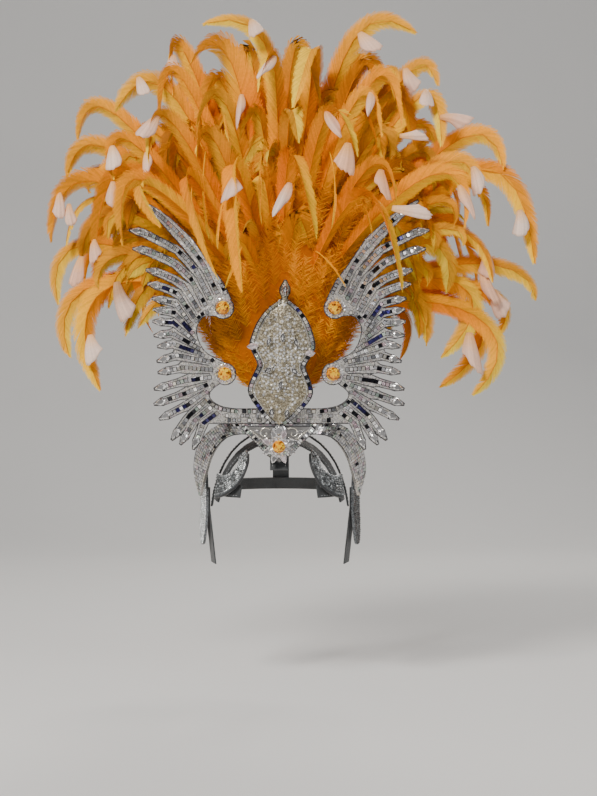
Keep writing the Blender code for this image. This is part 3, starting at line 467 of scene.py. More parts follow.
def smooth_line(points, steps):
    """Points of a smooth curve through the given ones, with so many steps between neighbours."""
    points = [Vector(point) for point in points]
    padded = [points[0] * 2 - points[1]] + points + [points[-1] * 2 - points[-2]]
    line = []
    for index in range(len(points) - 1):
        before, start, end, after = padded[index:index + 4]
        for step in range(steps):
            t = step / steps
            line.append(0.5 * (
                2 * start
                + (end - before) * t
                + (2 * before - 5 * start + 4 * end - after) * t ** 2
                + (3 * start - before - 3 * end + after) * t ** 3
            ))
    line.append(points[-1])
    return line


def lengths_along(points):
    """The length of a line up to each of its points."""
    lengths = [0.0]
    for start, end in zip(points, points[1:]):
        lengths.append(lengths[-1] + (end - start).length)
    return lengths


def even_line(points, pitch):
    """Points about one pitch apart along a line, and the direction at each."""
    lengths = lengths_along(points)
    count = max(1, round(lengths[-1] / pitch))
    result = []
    for step in range(count + 1):
        target = lengths[-1] * step / count
        index = 0
        while index < len(points) - 2 and lengths[index + 1] < target:
            index += 1
        span = max(1e-9, lengths[index + 1] - lengths[index])
        way = (target - lengths[index]) / span
        direction = (points[index + 1] - points[index]).normalized()
        result.append((points[index].lerp(points[index + 1], way), direction))
    return result


def scaled(points, reach, rise):
    """Turn hundredths of two sizes into lengths."""
    return [Vector((u * reach / 100, v * rise / 100)) for u, v in points]


def turned(direction):
    return Vector((-direction.y, direction.x))


# Places on the plates

def bent_front(reach_forward, curl, reach, sign=1.0):
    """Place points on an upright sheet that is flat over the spine and bends back by curl at reach."""
    flat = SPINE_WIDTH * 0.6
    bend = curl / (reach - flat) ** 2

    def place(u, v, depth):
        outside = math.copysign(max(0.0, abs(u) - flat), u)
        slope = 2 * bend * outside
        length = math.hypot(slope, 1.0)
        x = u + depth * slope / length
        y = bend * outside ** 2 - reach_forward - depth / length
        return Vector((sign * x, y, v))

    return place


def wing_place(sign):
    return bent_front(FRONT_REACH + CLEARANCE, WING_SWEEP_BACK, WING_REACH, sign)


def crescent_place(sign=1.0, layers=0.0):
    return bent_front(FRONT_REACH + CLEARANCE + layers, BANDEAU_CURL, CRESCENT_REACH, sign)


def medallion_place(u, v, depth):
    turned_x = u * math.cos(MEDALLION_LEAN) + v * math.sin(MEDALLION_LEAN)
    turned_z = v * math.cos(MEDALLION_LEAN) - u * math.sin(MEDALLION_LEAN)
    back = -FRONT_REACH - WING_THICKNESS - 2 * CLEARANCE
    return Vector((turned_x, back - depth, MEDALLION_BOTTOM + turned_z))


def leaf_place(sign):
    """Place points on the layer above the straps over the temple."""
    grow = STRAP_THICKNESS + STRAP_GAP
    width, depth, rise = HEAD_HALF_WIDTH + grow, HEAD_HALF_DEPTH + grow, HEAD_RISE + grow

    def place(u, v, raised):
        across = u / width
        up = (v + HEAD_RISE) / rise
        ahead = max(0.0, 1 - abs(across) ** HEAD_SQUARENESS - abs(up) ** HEAD_SQUARENESS)
        ahead = ahead ** (1 / HEAD_SQUARENESS)
        power = HEAD_SQUARENESS - 1
        normal = Vector((across ** power / width, -ahead ** power / depth, up ** power / rise)).normalized()
        point = Vector((u, -ahead * depth, v)) + normal * raised
        return Vector((sign * point.x, point.y, point.z))

    return place


def pixel_place(pixel_x, pixel_y):
    """The place on the front, across and up, of a pixel of the photograph."""
    return (pixel_x - ORIGIN_PIXEL_X) * PIXEL, (ORIGIN_PIXEL_Z - pixel_y) * PIXEL


class Face:
    """The surface of a CAD node, met by a straight look at it."""

    def __init__(self, node):
        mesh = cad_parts[node].data
        corners = [vertex.co.copy() for vertex in mesh.vertices]
        self.tree = BVHTree.FromPolygons(corners, [tuple(face.vertices) for face in mesh.polygons])

    def look(self, start, direction):
        point, normal, _, _ = self.tree.ray_cast(start, direction)
        if point is None:
            return None, None
        return point, (normal if normal.dot(direction) < 0 else -normal)

    def front(self, x, z):
        return self.look(Vector((x, -1.0, z)), -FORWARD)

    def side(self, y, z, sign):
        return self.look(Vector((sign, y, z)), Vector((-sign, 0.0, 0.0)))


def seat(point, normal, direction):
    """Place (u, v, depth) on a spot: v along the direction, u across it and depth out of the surface."""
    along = (direction - normal * direction.dot(normal)).normalized()
    across = along.cross(normal)

    def place(u, v, depth):
        return point + across * u + along * v + normal * depth

    return place


# Joined meshes

class Pile:
    """Many small closed pieces that become one mesh, with a tint on each face."""

    def __init__(self):
        self.vertices = []
        self.faces = []
        self.tints = []

    def add(self, vertices, faces, tints):
        start = len(self.vertices)
        self.vertices.extend(vertices)
        self.faces.extend(tuple(start + index for index in face) for face in faces)
        self.tints.extend(tints)

    def build(self, name, finish, slot, smooth=False):
        mesh = bpy.data.meshes.new(name)
        mesh.from_pydata([tuple(vertex) for vertex in self.vertices], [], self.faces)
        tint = mesh.attributes.new("tint", "FLOAT_COLOR", "CORNER")
        values = []
        for face, colour in zip(self.faces, self.tints):
            values.extend((*colour, 1.0) * len(face))
        tint.data.foreach_set("color", values)
        mesh.materials.append(finish)
        if smooth:
            mesh.shade_smooth()
        mesh.update()
        return add_piece(name, mesh)


def add_object(name, data):
    item = bpy.data.objects.new(name, data)
    bpy.context.scene.collection.objects.link(item)
    return item


def add_piece(name, mesh):
    piece = add_object(name, mesh)
    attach(piece, "root")
    return piece


def jitter(size):
    return Vector((rng.uniform(-1, 1), rng.uniform(-1, 1))) * size


def silver_tint():
    """A colour of one small mirror or crystal: mostly silver, now and then tinted."""
    pick = rng.random()
    if pick < 0.52:
        return dim(SILVER, rng.uniform(0.72, 1.12))
    if pick < 0.70:
        return dim(WARM_SILVER, rng.uniform(0.75, 1.08))
    if pick < 0.80:
        return dim(DIM_SILVER, rng.uniform(0.6, 1.2))
    if pick < 0.88:
        return ROSE_SILVER
    if pick < 0.93:
        return GREEN_SILVER
    return MIRROR_WHITE


def band(low, high, count):
    """Quads between two rings of vertices, whose first ones are low and high."""
    ring = [(index, (index + 1) % count) for index in range(count)]
    return [(low + start, low + end, high + end, high + start) for start, end in ring]


def tile(pile, corners, height, colour, tilt=0.14):
    """A little mirror tile with chamfered edges on four corners of a surface."""
    middle = sum(corners, Vector((0.0, 0.0, 0.0))) / 4
    normal = (corners[2] - corners[0]).cross(corners[3] - corners[1]).normalized()
    if normal.y > 0:
        normal = -normal
    lean = Vector((rng.uniform(-tilt, tilt), 0.0, rng.uniform(-tilt, tilt)))
    vertices = []
    for share, level in ((1.0, -0.3), (1.0, 0.62), (0.84, 1.0)):
        for corner in corners:
            arm = (corner - middle) * share
            vertices.append(middle + arm + normal * (height * level + arm.dot(lean) * max(0.0, level)))
    faces = [(3, 2, 1, 0), (8, 9, 10, 11)] + band(0, 4, 4) + band(4, 8, 4)
    if (vertices[1] - vertices[0]).cross(vertices[2] - vertices[1]).dot(normal) < 0:
        faces = [tuple(reversed(face)) for face in faces]
    # Painted shade on the bottom and the sides, and a painted highlight on the chamfers
    rim = dim(colour, 0.75)
    pile.add(vertices, faces, [rim, colour] + [rim] * 4 + [dim(colour, 1.15)] * 4)


def corner_points(point, direction, length, width):
    """Four corners round a point: half a length along the direction and half a width across it."""
    ahead, across = direction * length / 2, turned(direction) * width / 2
    return [point + ahead * forth + across * out for forth, out in CORNERS]


def tile_on(pile, point, direction, width, length, place, colour, height=TILE_HEIGHT):
    """A tile on dark glue that shows round it; place turns plane points into points of the surface."""
    for grow, level, tone in ((2 * TILE_MARGIN, height * 0.35, PIPING_DARK), (0.0, height, colour)):
        corners = corner_points(point, direction, length + grow, width + grow)
        tile(pile, [place(corner.x, corner.y) for corner in corners], level, tone)


def ring_points(count, radius, phase=0.0):
    angles = [2 * math.pi * (step + phase) / count for step in range(count)]
    return [Vector((math.cos(angle), math.sin(angle))) * radius for angle in angles]


def ringed(place, rings, sides):
    """Vertices of round rings, each given by its radius and its height."""
    vertices = []
    for radius, height in rings:
        vertices.extend(place(point.x, point.y, height) for point in ring_points(sides, radius))
    return vertices


def crystal(pile, place, radius, height, colour, sides=6):
    """A small round crystal: a girdle, crown facets and a table."""
    rings = ((radius, height * -0.2), (radius, height * 0.35), (radius * 0.5, height))
    vertices = ringed(place, rings, sides)
    faces = [tuple(range(sides)), tuple(range(3 * sides - 1, 2 * sides - 1, -1))]
    faces += band(sides, 0, sides) + band(2 * sides, sides, sides)
    # The table and the facets get painted reflections: the colour made brighter and darker at random, facet
    # by facet
    tints = [colour, dim(colour, rng.uniform(0.9, 1.3))]
    tints.extend(dim(colour, rng.uniform(0.45, 1.25)) for _ in range(2 * sides))
    pile.add(vertices, faces, tints)


def front_crystal(pile, point, radius, height, colour, sides=6):
    """A crystal that faces the front."""
    crystal(pile, seat(point, FORWARD, UP), radius, height, colour, sides)


def cut_stone(pile, outline, place, base, height, pick, table=0.56):
    """A cut stone on an outline: a girdle, rings of three-cornered facets and a table."""
    middle = sum(outline, Vector((0.0, 0.0))) / len(outline)
    count = len(outline)
    halfway = [(outline[index] + outline[(index + 1) % count]) / 2 for index in range(count)]
    rings = [(outline, 1.0, -0.1), (outline, 1.0, 0.28), (halfway, 0.85, 0.68), (outline, 0.58, 0.94)]
    if table < 0.5:
        rings.append((halfway, table, 1.0))
    vertices = []
    for points, share, level in rings:
        for point in points:
            u, v = middle.lerp(point, share)
            vertices.append(place(u, v, base + height * level))
    last = (len(rings) - 1) * count
    faces = [tuple(range(count)), tuple(range(last + count - 1, last - 1, -1))]
    tints = [pick(0), pick(2)]
    for index in range(count):
        following = (index + 1) % count
        faces.append((index, count + index, count + following, following))
        tints.append(pick(0))
        for ring in range(1, len(rings) - 1):
            low, high = ring * count, (ring + 1) * count
            if ring % 2:
                faces.append((low + index, high + index, low + following))
                faces.append((high + index, high + following, low + following))
            else:
                faces.append((low + index, high + following, low + following))
                faces.append((low + index, high + index, high + following))
            tints.extend((pick(1), pick(1)))
    pile.add(vertices, faces, tints)


def clear_pick(level):
    """Colour of a facet of a clear foiled stone, with a painted reflection: silver made darker and brighter
    at random; level 2 is the table.
    """
    if level == 2:
        return dim(SILVER, rng.uniform(0.30, 0.50))
    return dim(mix(SILVER, MIRROR_WHITE, rng.random()), rng.choice((0.10, 0.25, 0.6, 1.0, 1.1, 1.1)))


def marquise_pick(level):
    """Stronger lights and darks, for the pointed stones among the beads."""
    if level == 0:
        return MIRROR_BLACK
    return dim(MIRROR_WHITE, rng.choice((0.04, 0.12, 0.30, 1.0, 1.0, 1.0)))


def rose_pick(level):
    return mix(clear_pick(1), ROSE_SILVER, 0.45)


def halo_tint():
    """Bright stones with painted reflections of gold and rose from what they surround, dimmed at random."""
    warm = rng.choice((MIRROR_WHITE, MIRROR_WHITE, GOLD_REFLECTION, ROSE_SILVER))
    return dim(mix(MIRROR_WHITE, warm, 0.7), rng.uniform(0.6, 1.0))


def amber_pick(level):
    # Painted reflections on the amber facets: dark, middle and bright ambers at random, and a bright table
    if level == 2:
        return mix(AMBER, AMBER_BRIGHT, 0.7)
    shades = (AMBER_DARK, mix(AMBER_DARK, AMBER, 0.5), AMBER, AMBER, AMBER_BRIGHT, AMBER_BRIGHT)
    return rng.choice(shades)


def half_bead(pile, place, radius, colour, sides=7):
    """A round bead sunk a little in what carries it."""
    rings = ((radius * 0.70, radius * 0.72), (radius, radius * 0.1), (radius * 0.8, radius * -0.35))
    vertices = [place(0.0, 0.0, radius)] + ringed(place, rings, sides)
    faces = [(0, 1 + (index + 1) % sides, 1 + index) for index in range(sides)]
    faces += band(1, 1 + sides, sides) + band(1 + sides, 1 + 2 * sides, sides)
    faces.append(tuple(range(2 * sides + 1, 3 * sides + 1)))
    pile.add(vertices, faces, [colour] * len(faces))


def tube(pile, points, radius, colour, sides=6):
    """A closed tube along points."""
    vertices = []
    side = None
    for index, point in enumerate(points):
        direction = (points[min(index + 1, len(points) - 1)] - points[max(index - 1, 0)]).normalized()
        if side is None:
            side = direction.orthogonal().normalized()
        side = (side - direction * side.dot(direction)).normalized()
        other = direction.cross(side)
        vertices.extend(point + side * turn.x + other * turn.y for turn in ring_points(sides, radius))
    last = (len(points) - 1) * sides
    faces = [tuple(range(sides))[::-1], tuple(range(last, last + sides))]
    for low in range(0, last, sides):
        faces += band(low, low + sides, sides)
    pile.add(vertices, faces, [colour] * len(faces))


# Materials

def new_finish(name):
    finish = bpy.data.materials.new(name)
    finish.use_nodes = True
    return finish, finish.node_tree, finish.node_tree.nodes["Principled BSDF"]


def add_node(tree, kind, values=None, **settings):
    node = tree.nodes.new("ShaderNode" + kind)
    for name, value in settings.items():
        setattr(node, name, value)
    for name, value in (values or {}).items():
        node.inputs[name].default_value = value
    return node


def feed(tree, source, socket):
    """Link a socket's source, or set its value."""
    if isinstance(source, bpy.types.NodeSocket):
        tree.links.new(source, socket)
    else:
        socket.default_value = source


def computed(tree, kind, operation, *sources):
    """The result of a Math or VectorMath node."""
    node = add_node(tree, kind, operation=operation)
    for source, socket in zip(sources, node.inputs):
        feed(tree, source, socket)
    return node.outputs[0]


def object_place(tree):
    return add_node(tree, "TexCoord").outputs["Object"]


def ramped(tree, source, stops):
    """A colour picked from stops, (position, colour), by a number from 0 to 1."""
    node = add_node(tree, "ValToRGB")
    elements = node.color_ramp.elements
    for element, (position, colour) in zip(elements, (stops[0], stops[-1])):
        element.position = position
        element.color = (*colour, 1.0)
    for position, colour in stops[1:-1]:
        elements.new(position).color = (*colour, 1.0)
    tree.links.new(source, node.inputs["Fac"])
    return node.outputs["Color"]


def mixed(tree, factor, first, second, blend="MIX"):
    """Two colours blended by a factor."""
    node = add_node(tree, "Mix", data_type="RGBA", blend_type=blend)
    for source, index in ((factor, 0), (first, 6), (second, 7)):
        feed(tree, source, node.inputs[index])
    return node.outputs[2]


def object_noise(tree, scale, detail=3.0, stretch=(1.0, 1.0, 1.0)):
    """Noise in the object's own coordinates."""
    mapping = add_node(tree, "Mapping", {"Scale": stretch})
    noise = add_node(tree, "TexNoise", {"Scale": scale, "Detail": detail})
    tree.links.new(object_place(tree), mapping.inputs["Vector"])
    tree.links.new(mapping.outputs["Vector"], noise.inputs["Vector"])
    return noise.outputs["Fac"]


def ranged(tree, source, low, high, start=0.3, end=0.7):
    node = add_node(tree, "MapRange", {"From Min": start, "From Max": end, "To Min": low, "To Max": high})
    tree.links.new(source, node.inputs["Value"])
    return node.outputs["Result"]


def bumped(tree, shader, source, distance, strength=1.0):
    bump = add_node(tree, "Bump", {"Strength": strength, "Distance": distance})
    tree.links.new(source, bump.inputs["Height"])
    tree.links.new(bump.outputs["Normal"], shader.inputs["Normal"])


def set_sockets(tree, shader, sockets):
    """Set the shader's values, and link the sources among them."""
    for name, source in sockets.items():
        feed(tree, source, shader.inputs[name])


def tinted_finish(name, rough_low, rough_high, grain, variation, depth, sockets):
    """A finish whose colour comes from the mesh's own tints, varied by grain."""
    finish, tree, shader = new_finish(name)
    tint = add_node(tree, "Attribute", attribute_name="tint").outputs["Color"]
    noise = object_noise(tree, grain)
    factor = ranged(tree, noise, 1 - variation, 1 + variation)
    set_sockets(tree, shader, {"Base Color": mixed(tree, 1.0, tint, factor, "MULTIPLY"), **sockets})
    feed(tree, ranged(tree, noise, rough_low, rough_high), shader.inputs["Roughness"])
    if depth:
        bumped(tree, shader, noise, depth)
    return finish


def backed(tree, shader, colour):
    """Show the colour on what faces the front, and dull backing on the edges and the back."""
    parts = add_node(tree, "SeparateXYZ")
    tree.links.new(add_node(tree, "TexCoord").outputs["Normal"], parts.inputs["Vector"])
    front = computed(tree, "Math", "LESS_THAN", parts.outputs["Y"], -0.4)
    felt = ranged(tree, object_noise(tree, 900.0), 0.6, 1.4)
    dark = mixed(tree, 1.0, (*BACKING, 1.0), felt, "MULTIPLY")
    feed(tree, mixed(tree, front, dark, colour), shader.inputs["Base Color"])
    metal = computed(tree, "Math", "MULTIPLY", front, shader.inputs["Metallic"].default_value)
    feed(tree, metal, shader.inputs["Metallic"])


def glitter_finish(name, low, high, warmth, cell, sparkle, sockets, has_back=True):
    """Board covered with glitter: small cells, each with its own brightness and its own tilt."""
    finish, tree, shader = new_finish(name)
    cells = add_node(tree, "TexVoronoi", {"Scale": 1 / cell})
    tree.links.new(object_place(tree), cells.inputs["Vector"])
    parts = add_node(tree, "SeparateColor")
    tree.links.new(cells.outputs["Color"], parts.inputs["Color"])
    stops = ((0.0, low), (0.55, mix(low, high, 0.62)), (0.9, warmth), (1.0, high))
    shade = ramped(tree, parts.outputs["Red"], stops)
    set_sockets(tree, shader, sockets)
    if has_back:
        backed(tree, shader, shade)
    else:
        feed(tree, shade, shader.inputs["Base Color"])
    feed(tree, ranged(tree, parts.outputs["Green"], 0.20, 0.48, 0.0, 1.0), shader.inputs["Roughness"])
    offset = computed(tree, "VectorMath", "SUBTRACT", cells.outputs["Color"], (0.5, 0.5, 0.5))
    spread = computed(tree, "VectorMath", "MULTIPLY", offset, (sparkle, sparkle, sparkle))
    normal = add_node(tree, "NewGeometry").outputs["Normal"]
    total = computed(tree, "VectorMath", "ADD", normal, spread)
    feed(tree, computed(tree, "VectorMath", "NORMALIZE", total), shader.inputs["Normal"])
    return finish


def woven_finish(name, dark, light, thread, sockets):
    """Webbing: threads in two directions, worn lighter here and there."""
    finish, tree, shader = new_finish(name)
    place = object_place(tree)
    waves = []
    for direction in ("DIAGONAL", "Z"):
        values = {"Scale": 1 / thread, "Distortion": 0.6, "Detail": 1.0}
        wave = add_node(tree, "TexWave", values, bands_direction=direction)
        tree.links.new(place, wave.inputs["Vector"])
        waves.append(wave.outputs["Fac"])
    weave = computed(tree, "Math", "MULTIPLY", *waves)
    wear = object_noise(tree, 60.0)
    total = computed(tree, "Math", "MULTIPLY_ADD", weave, 0.6, ranged(tree, wear, 0.0, 0.5))
    set_sockets(tree, shader, {"Base Color": ramped(tree, total, ((0.0, dark), (1.0, light))), **sockets})
    feed(tree, ranged(tree, wear, 0.45, 0.75), shader.inputs["Roughness"])
    bumped(tree, shader, weave, 0.0002, 0.8)
    return finish


def metal_finish(name, dark, light, grain, sockets):
    """Brushed silver foil with scuffs."""
    finish, tree, shader = new_finish(name)
    scuffs = object_noise(tree, grain, 6.0, (1.0, 1.0, 3.0))
    set_sockets(tree, shader, sockets)
    backed(tree, shader, ramped(tree, scuffs, ((0.3, dark), (0.7, light))))
    feed(tree, ranged(tree, scuffs, 0.45, 0.25), shader.inputs["Roughness"])
    bumped(tree, shader, scuffs, 0.0004, 0.6)
    return finish


FEATHER_FINISH = tinted_finish(
    "feather_vane", 0.42, 0.58, 420.0, 0.10, 0.00025,
    {"Sheen Weight": 0.06, "Sheen Roughness": 0.4, "Sheen Tint": (1.0, 0.50, 0.05, 1.0),
     "Specular IOR Level": 0.14, "Specular Tint": (1.0, 0.70, 0.30, 1.0)},
)
DOWN_FINISH = tinted_finish(
    "feather_down", 0.70, 0.85, 300.0, 0.12, 0.0,
    {"Sheen Weight": 0.25, "Sheen Roughness": 0.5, "Sheen Tint": (1.0, 0.42, 0.03, 1.0),
     "Specular IOR Level": 0.10},
)
PALE_FINISH = tinted_finish(
    "feather_pale", 0.50, 0.68, 500.0, 0.07, 0.0002,
    {"Sheen Weight": 0.2, "Sheen Roughness": 0.4, "Specular IOR Level": 0.3},
)
TILE_FINISH = tinted_finish(
    "mirror_tile", 0.06, 0.22, 160.0, 0.10, 0.0,
    {"Metallic": 0.9, "Coat Weight": 0.5, "Coat Roughness": 0.04},
)
CRYSTAL_FINISH = tinted_finish(
    "cut_crystal", 0.05, 0.16, 260.0, 0.08, 0.0,
    {"Metallic": 0.55, "Coat Weight": 1.0, "Coat Roughness": 0.03, "Coat IOR": 1.5},
)
AMBER_FINISH = tinted_finish(
    "amber_facets", 0.06, 0.18, 260.0, 0.12, 0.0,
    {"Metallic": 0.10, "Specular IOR Level": 0.3, "Coat Weight": 0.7, "Coat Roughness": 0.03,
     "Coat IOR": 1.45},
)
BEAD_FINISH = tinted_finish(
    "grey_bead", 0.18, 0.40, 240.0, 0.25, 0.0,
    {"Metallic": 0.75, "Coat Weight": 0.4, "Coat Roughness": 0.12},
)
PIPING_FINISH = tinted_finish(
    "dark_piping", 0.35, 0.6, 700.0, 0.35, 0.0002, {"Sheen Weight": 0.2, "Specular IOR Level": 0.4},
)
BOARD_FINISH = glitter_finish(
    "silver_glitter", (0.26, 0.25, 0.24), (0.66, 0.64, 0.61), (0.60, 0.55, 0.47), 0.0010, 0.45,
    {"Metallic": 0.55, "Coat Weight": 0.3, "Coat Roughness": 0.10},
)
GREY_GLITTER_FINISH = glitter_finish(
    "grey_glitter", (0.045, 0.048, 0.052), (0.30, 0.32, 0.34), (0.20, 0.21, 0.20), 0.0009, 0.6,
    {"Metallic": 0.6}, has_back=False,
)
MEDALLION_FINISH = glitter_finish(
    "champagne_glitter", (0.16, 0.135, 0.09), (0.42, 0.37, 0.27), (0.62, 0.56, 0.42), 0.0012, 0.35,
    {"Metallic": 0.55, "Coat Weight": 0.3, "Coat Roughness": 0.10},
)
BROW_FINISH = metal_finish(
    "brow_foil", (0.16, 0.155, 0.15), (0.36, 0.345, 0.33), 140.0, {"Metallic": 0.75, "Coat Weight": 0.3},
)
PETAL_FINISH = metal_finish(
    "petal_foil", (0.45, 0.44, 0.45), (0.90, 0.88, 0.88), 300.0, {"Metallic": 0.7, "Coat Weight": 0.8},
)
STRAP_FINISH = woven_finish(
    "strap_webbing", (0.022, 0.024, 0.026), (0.085, 0.090, 0.092), 0.0022,
    {"Sheen Weight": 0.15, "Specular IOR Level": 0.35},
)


# Feathers

def fluff_front():
    return -FRONT_REACH + SPINE_THICKNESS + CLEARANCE


def feather_route(row):
    """Handles of a feather's middle line, from its root in the fluff over its apex to its tip."""
    apex_x, apex_z, tip_x, tip_z, bow, apex_y, tip_y, width = row
    reach, rise, depth = PLUME_REACH / 100, PLUME_RISE / 100, PLUME_DEPTH / 100
    middle_y = fluff_front() + FLUFF_HALF_DEPTH
    height = FEATHER_ROOT_LOW + (FEATHER_ROOT_HIGH - FEATHER_ROOT_LOW) * max(0.0, apex_z) / 100
    root = Vector((apex_x * reach * 0.10, middle_y + apex_y * depth * 0.10, height))
    apex = Vector((apex_x * reach, middle_y + apex_y * depth, apex_z * rise))
    tip = Vector((tip_x * reach, middle_y + tip_y * depth, tip_z * rise))
    first = root.lerp(apex, 0.55) + Vector((0.0, 0.0, bow * rise))
    late, early = FEATHER_APEX_WAY, 1 - FEATHER_APEX_WAY
    second = apex - root * early ** 3 - first * (3 * early ** 2 * late) - tip * late ** 3
    return root, first, second / (3 * early * late ** 2), tip


def back_feather_rows():
    """Rows, like the table's, of the feathers behind, which fan out evenly and droop to the back."""
    reach, level, rise, step_down = 66, 40, 44, 8
    depth, step_back, lean, width = 48, 14, 34, 104
    rows = []
    for index in range(BACK_FEATHERS):
        spread = 2 * index / (BACK_FEATHERS - 1) - 1
        stagger = index % 2
        apex_x = reach * math.sin(spread * 1.45)
        apex_z = level + (rise - step_down * stagger) * math.cos(spread * 1.30)
        tip_x = apex_x * 1.22
        tip_z = apex_z - (2 + stagger) * step_down
        apex_y = depth + step_back * stagger - step_back * abs(spread)
        rows.append((apex_x, apex_z, tip_x, tip_z, 7 + 5 * abs(spread), apex_y, apex_y + lean, width))
    return rows


def fill_rows(side):
    """Rows, like the table's, of the shorter feathers that fill one side of the fan."""
    reach, level, rise = 84, 20, 78
    rows = []
    for count, low_share, high_share, low_depth, high_depth, lean, at_back in FILL_SETS:
        if at_back != side:
            continue
        for index in range(count):
            spread = 2 * (index + 0.5) / count - 1 + rng.uniform(-0.04, 0.04)
            share = rng.uniform(low_share, high_share) / 100
            apex_x = reach * math.sin(spread * 1.30) * share
            apex_z = (level + rise * math.cos(spread * 1.12)) * share
            outward = math.copysign(1.0, apex_x)
            tip_x = apex_x + outward * rng.uniform(3, 13)
            tip_z = apex_z - rng.uniform(4, 15)
            apex_y = rng.uniform(low_depth, high_depth)
            if at_back and tip_z < 32 and abs(tip_x) > 20:
                continue
            if tip_z < 60 and abs(apex_x) > 18 and not at_back:
                apex_y = max(apex_y, -4)
            tip_y = max(apex_y + lean, -8 if tip_z < 60 else -100)
            bow, width = 4 + 8 * abs(spread), rng.uniform(60, 100)
            rows.append((apex_x, apex_z, tip_x, tip_z, bow, apex_y, tip_y, width))
    return rows


class FeatherPile:
    """Strips of barbs and quills that become one mesh, with a tint at each point."""

    def __init__(self):
        self.vertices = []
        self.faces = []
        self.tints = []
        self.count = 0

    def add(self, vertices, faces, tints):
        self.vertices.append(vertices)
        self.faces.append(faces + self.count)
        self.tints.append(tints)
        self.count += len(vertices)

    def build(self, name, finish, slot):
        vertices = np.concatenate(self.vertices)
        faces = np.concatenate(self.faces)
        tints = np.concatenate(self.tints)
        mesh = bpy.data.meshes.new(name)
        mesh.from_pydata(vertices.tolist(), [], faces.tolist())
        attribute = mesh.attributes.new("tint", "FLOAT_COLOR", "POINT")
        attribute.data.foreach_set("color", np.hstack([tints, np.ones((len(tints), 1))]).ravel())
        mesh.materials.append(finish)
        mesh.shade_smooth()
        mesh.update()
        return add_piece(name, mesh)


class Quill:
    """The middle line of a feather with its length, and the directions across and out of the vane."""

    def __init__(self, handles, twist, turn=0.0, steps=40):
        start, first, second, end = [np.array(handle) for handle in handles]
        t = np.linspace(0, 1, steps + 1)[:, None]
        rest = 1 - t
        self.points = (
            start * rest ** 3 + first * 3 * rest ** 2 * t + second * 3 * rest * t ** 2 + end * t ** 3
        )
        spans = np.linalg.norm(np.diff(self.points, axis=0), axis=1)
        self.ways = np.concatenate([[0], np.cumsum(spans)])
        self.length = self.ways[-1]
        along = np.gradient(self.points, self.ways, axis=0)
        self.along = along / np.linalg.norm(along, axis=1)[:, None]
        across = np.array((1.0, 0.0, 0.0))
        rows = []
        for direction in self.along:
            across = across - direction * across.dot(direction)
            across = across / np.linalg.norm(across)
            rows.append(across)
        flat = np.array(rows)
        out = np.cross(flat, self.along)
        angle = (turn + twist * self.ways / self.length)[:, None]
        self.across = flat * np.cos(angle) + out * np.sin(angle)
        self.out = out * np.cos(angle) - flat * np.sin(angle)

    def read(self, field, way):
        return np.stack([np.interp(way, self.ways, field[:, axis]) for axis in range(3)], axis=-1)

    def place(self, way, side, lift):
        """Points at a way along the quill, to the side of it and lifted out of it."""
        beyond = np.maximum(0.0, way - self.length)
        inside = np.minimum(way, self.length)
        point = self.read(self.points, inside) + self.along[-1] * beyond[..., None]
        aside = self.read(self.across, inside) * side[..., None]
        return point + aside + self.read(self.out, inside) * lift[..., None]


def vane_width(share):
    ways = [way / 100 for way, width in VANE_STATIONS]
    widths = [width / 100 for way, width in VANE_STATIONS]
    return np.interp(share, ways, widths)


def strips(starts, columns):
    """Quads of strips, each with pairs of points at so many columns."""
    faces = []
    for column in range(columns - 1):
        low = starts + column * 2
        faces.append(np.stack([low, low + 1, low + 3, low + 2], axis=-1))
    return np.concatenate(faces)


def add_barbs(pile, quill, forward, half, aside, lift, thickness, tints):
    """Add barbs, one a row: pairs of points, half before and half behind each way forward."""
    count, columns = forward.shape
    low = quill.place(forward - half, aside, lift)
    high = quill.place(forward + half, aside, lift + thickness)
    vertices = np.stack([low, high], axis=2).reshape(-1, 3)
    tints = np.repeat(tints, 2, axis=1).reshape(-1, 3)
    pile.add(vertices, strips(np.arange(count) * columns * 2, columns), np.clip(tints, 0, 1))


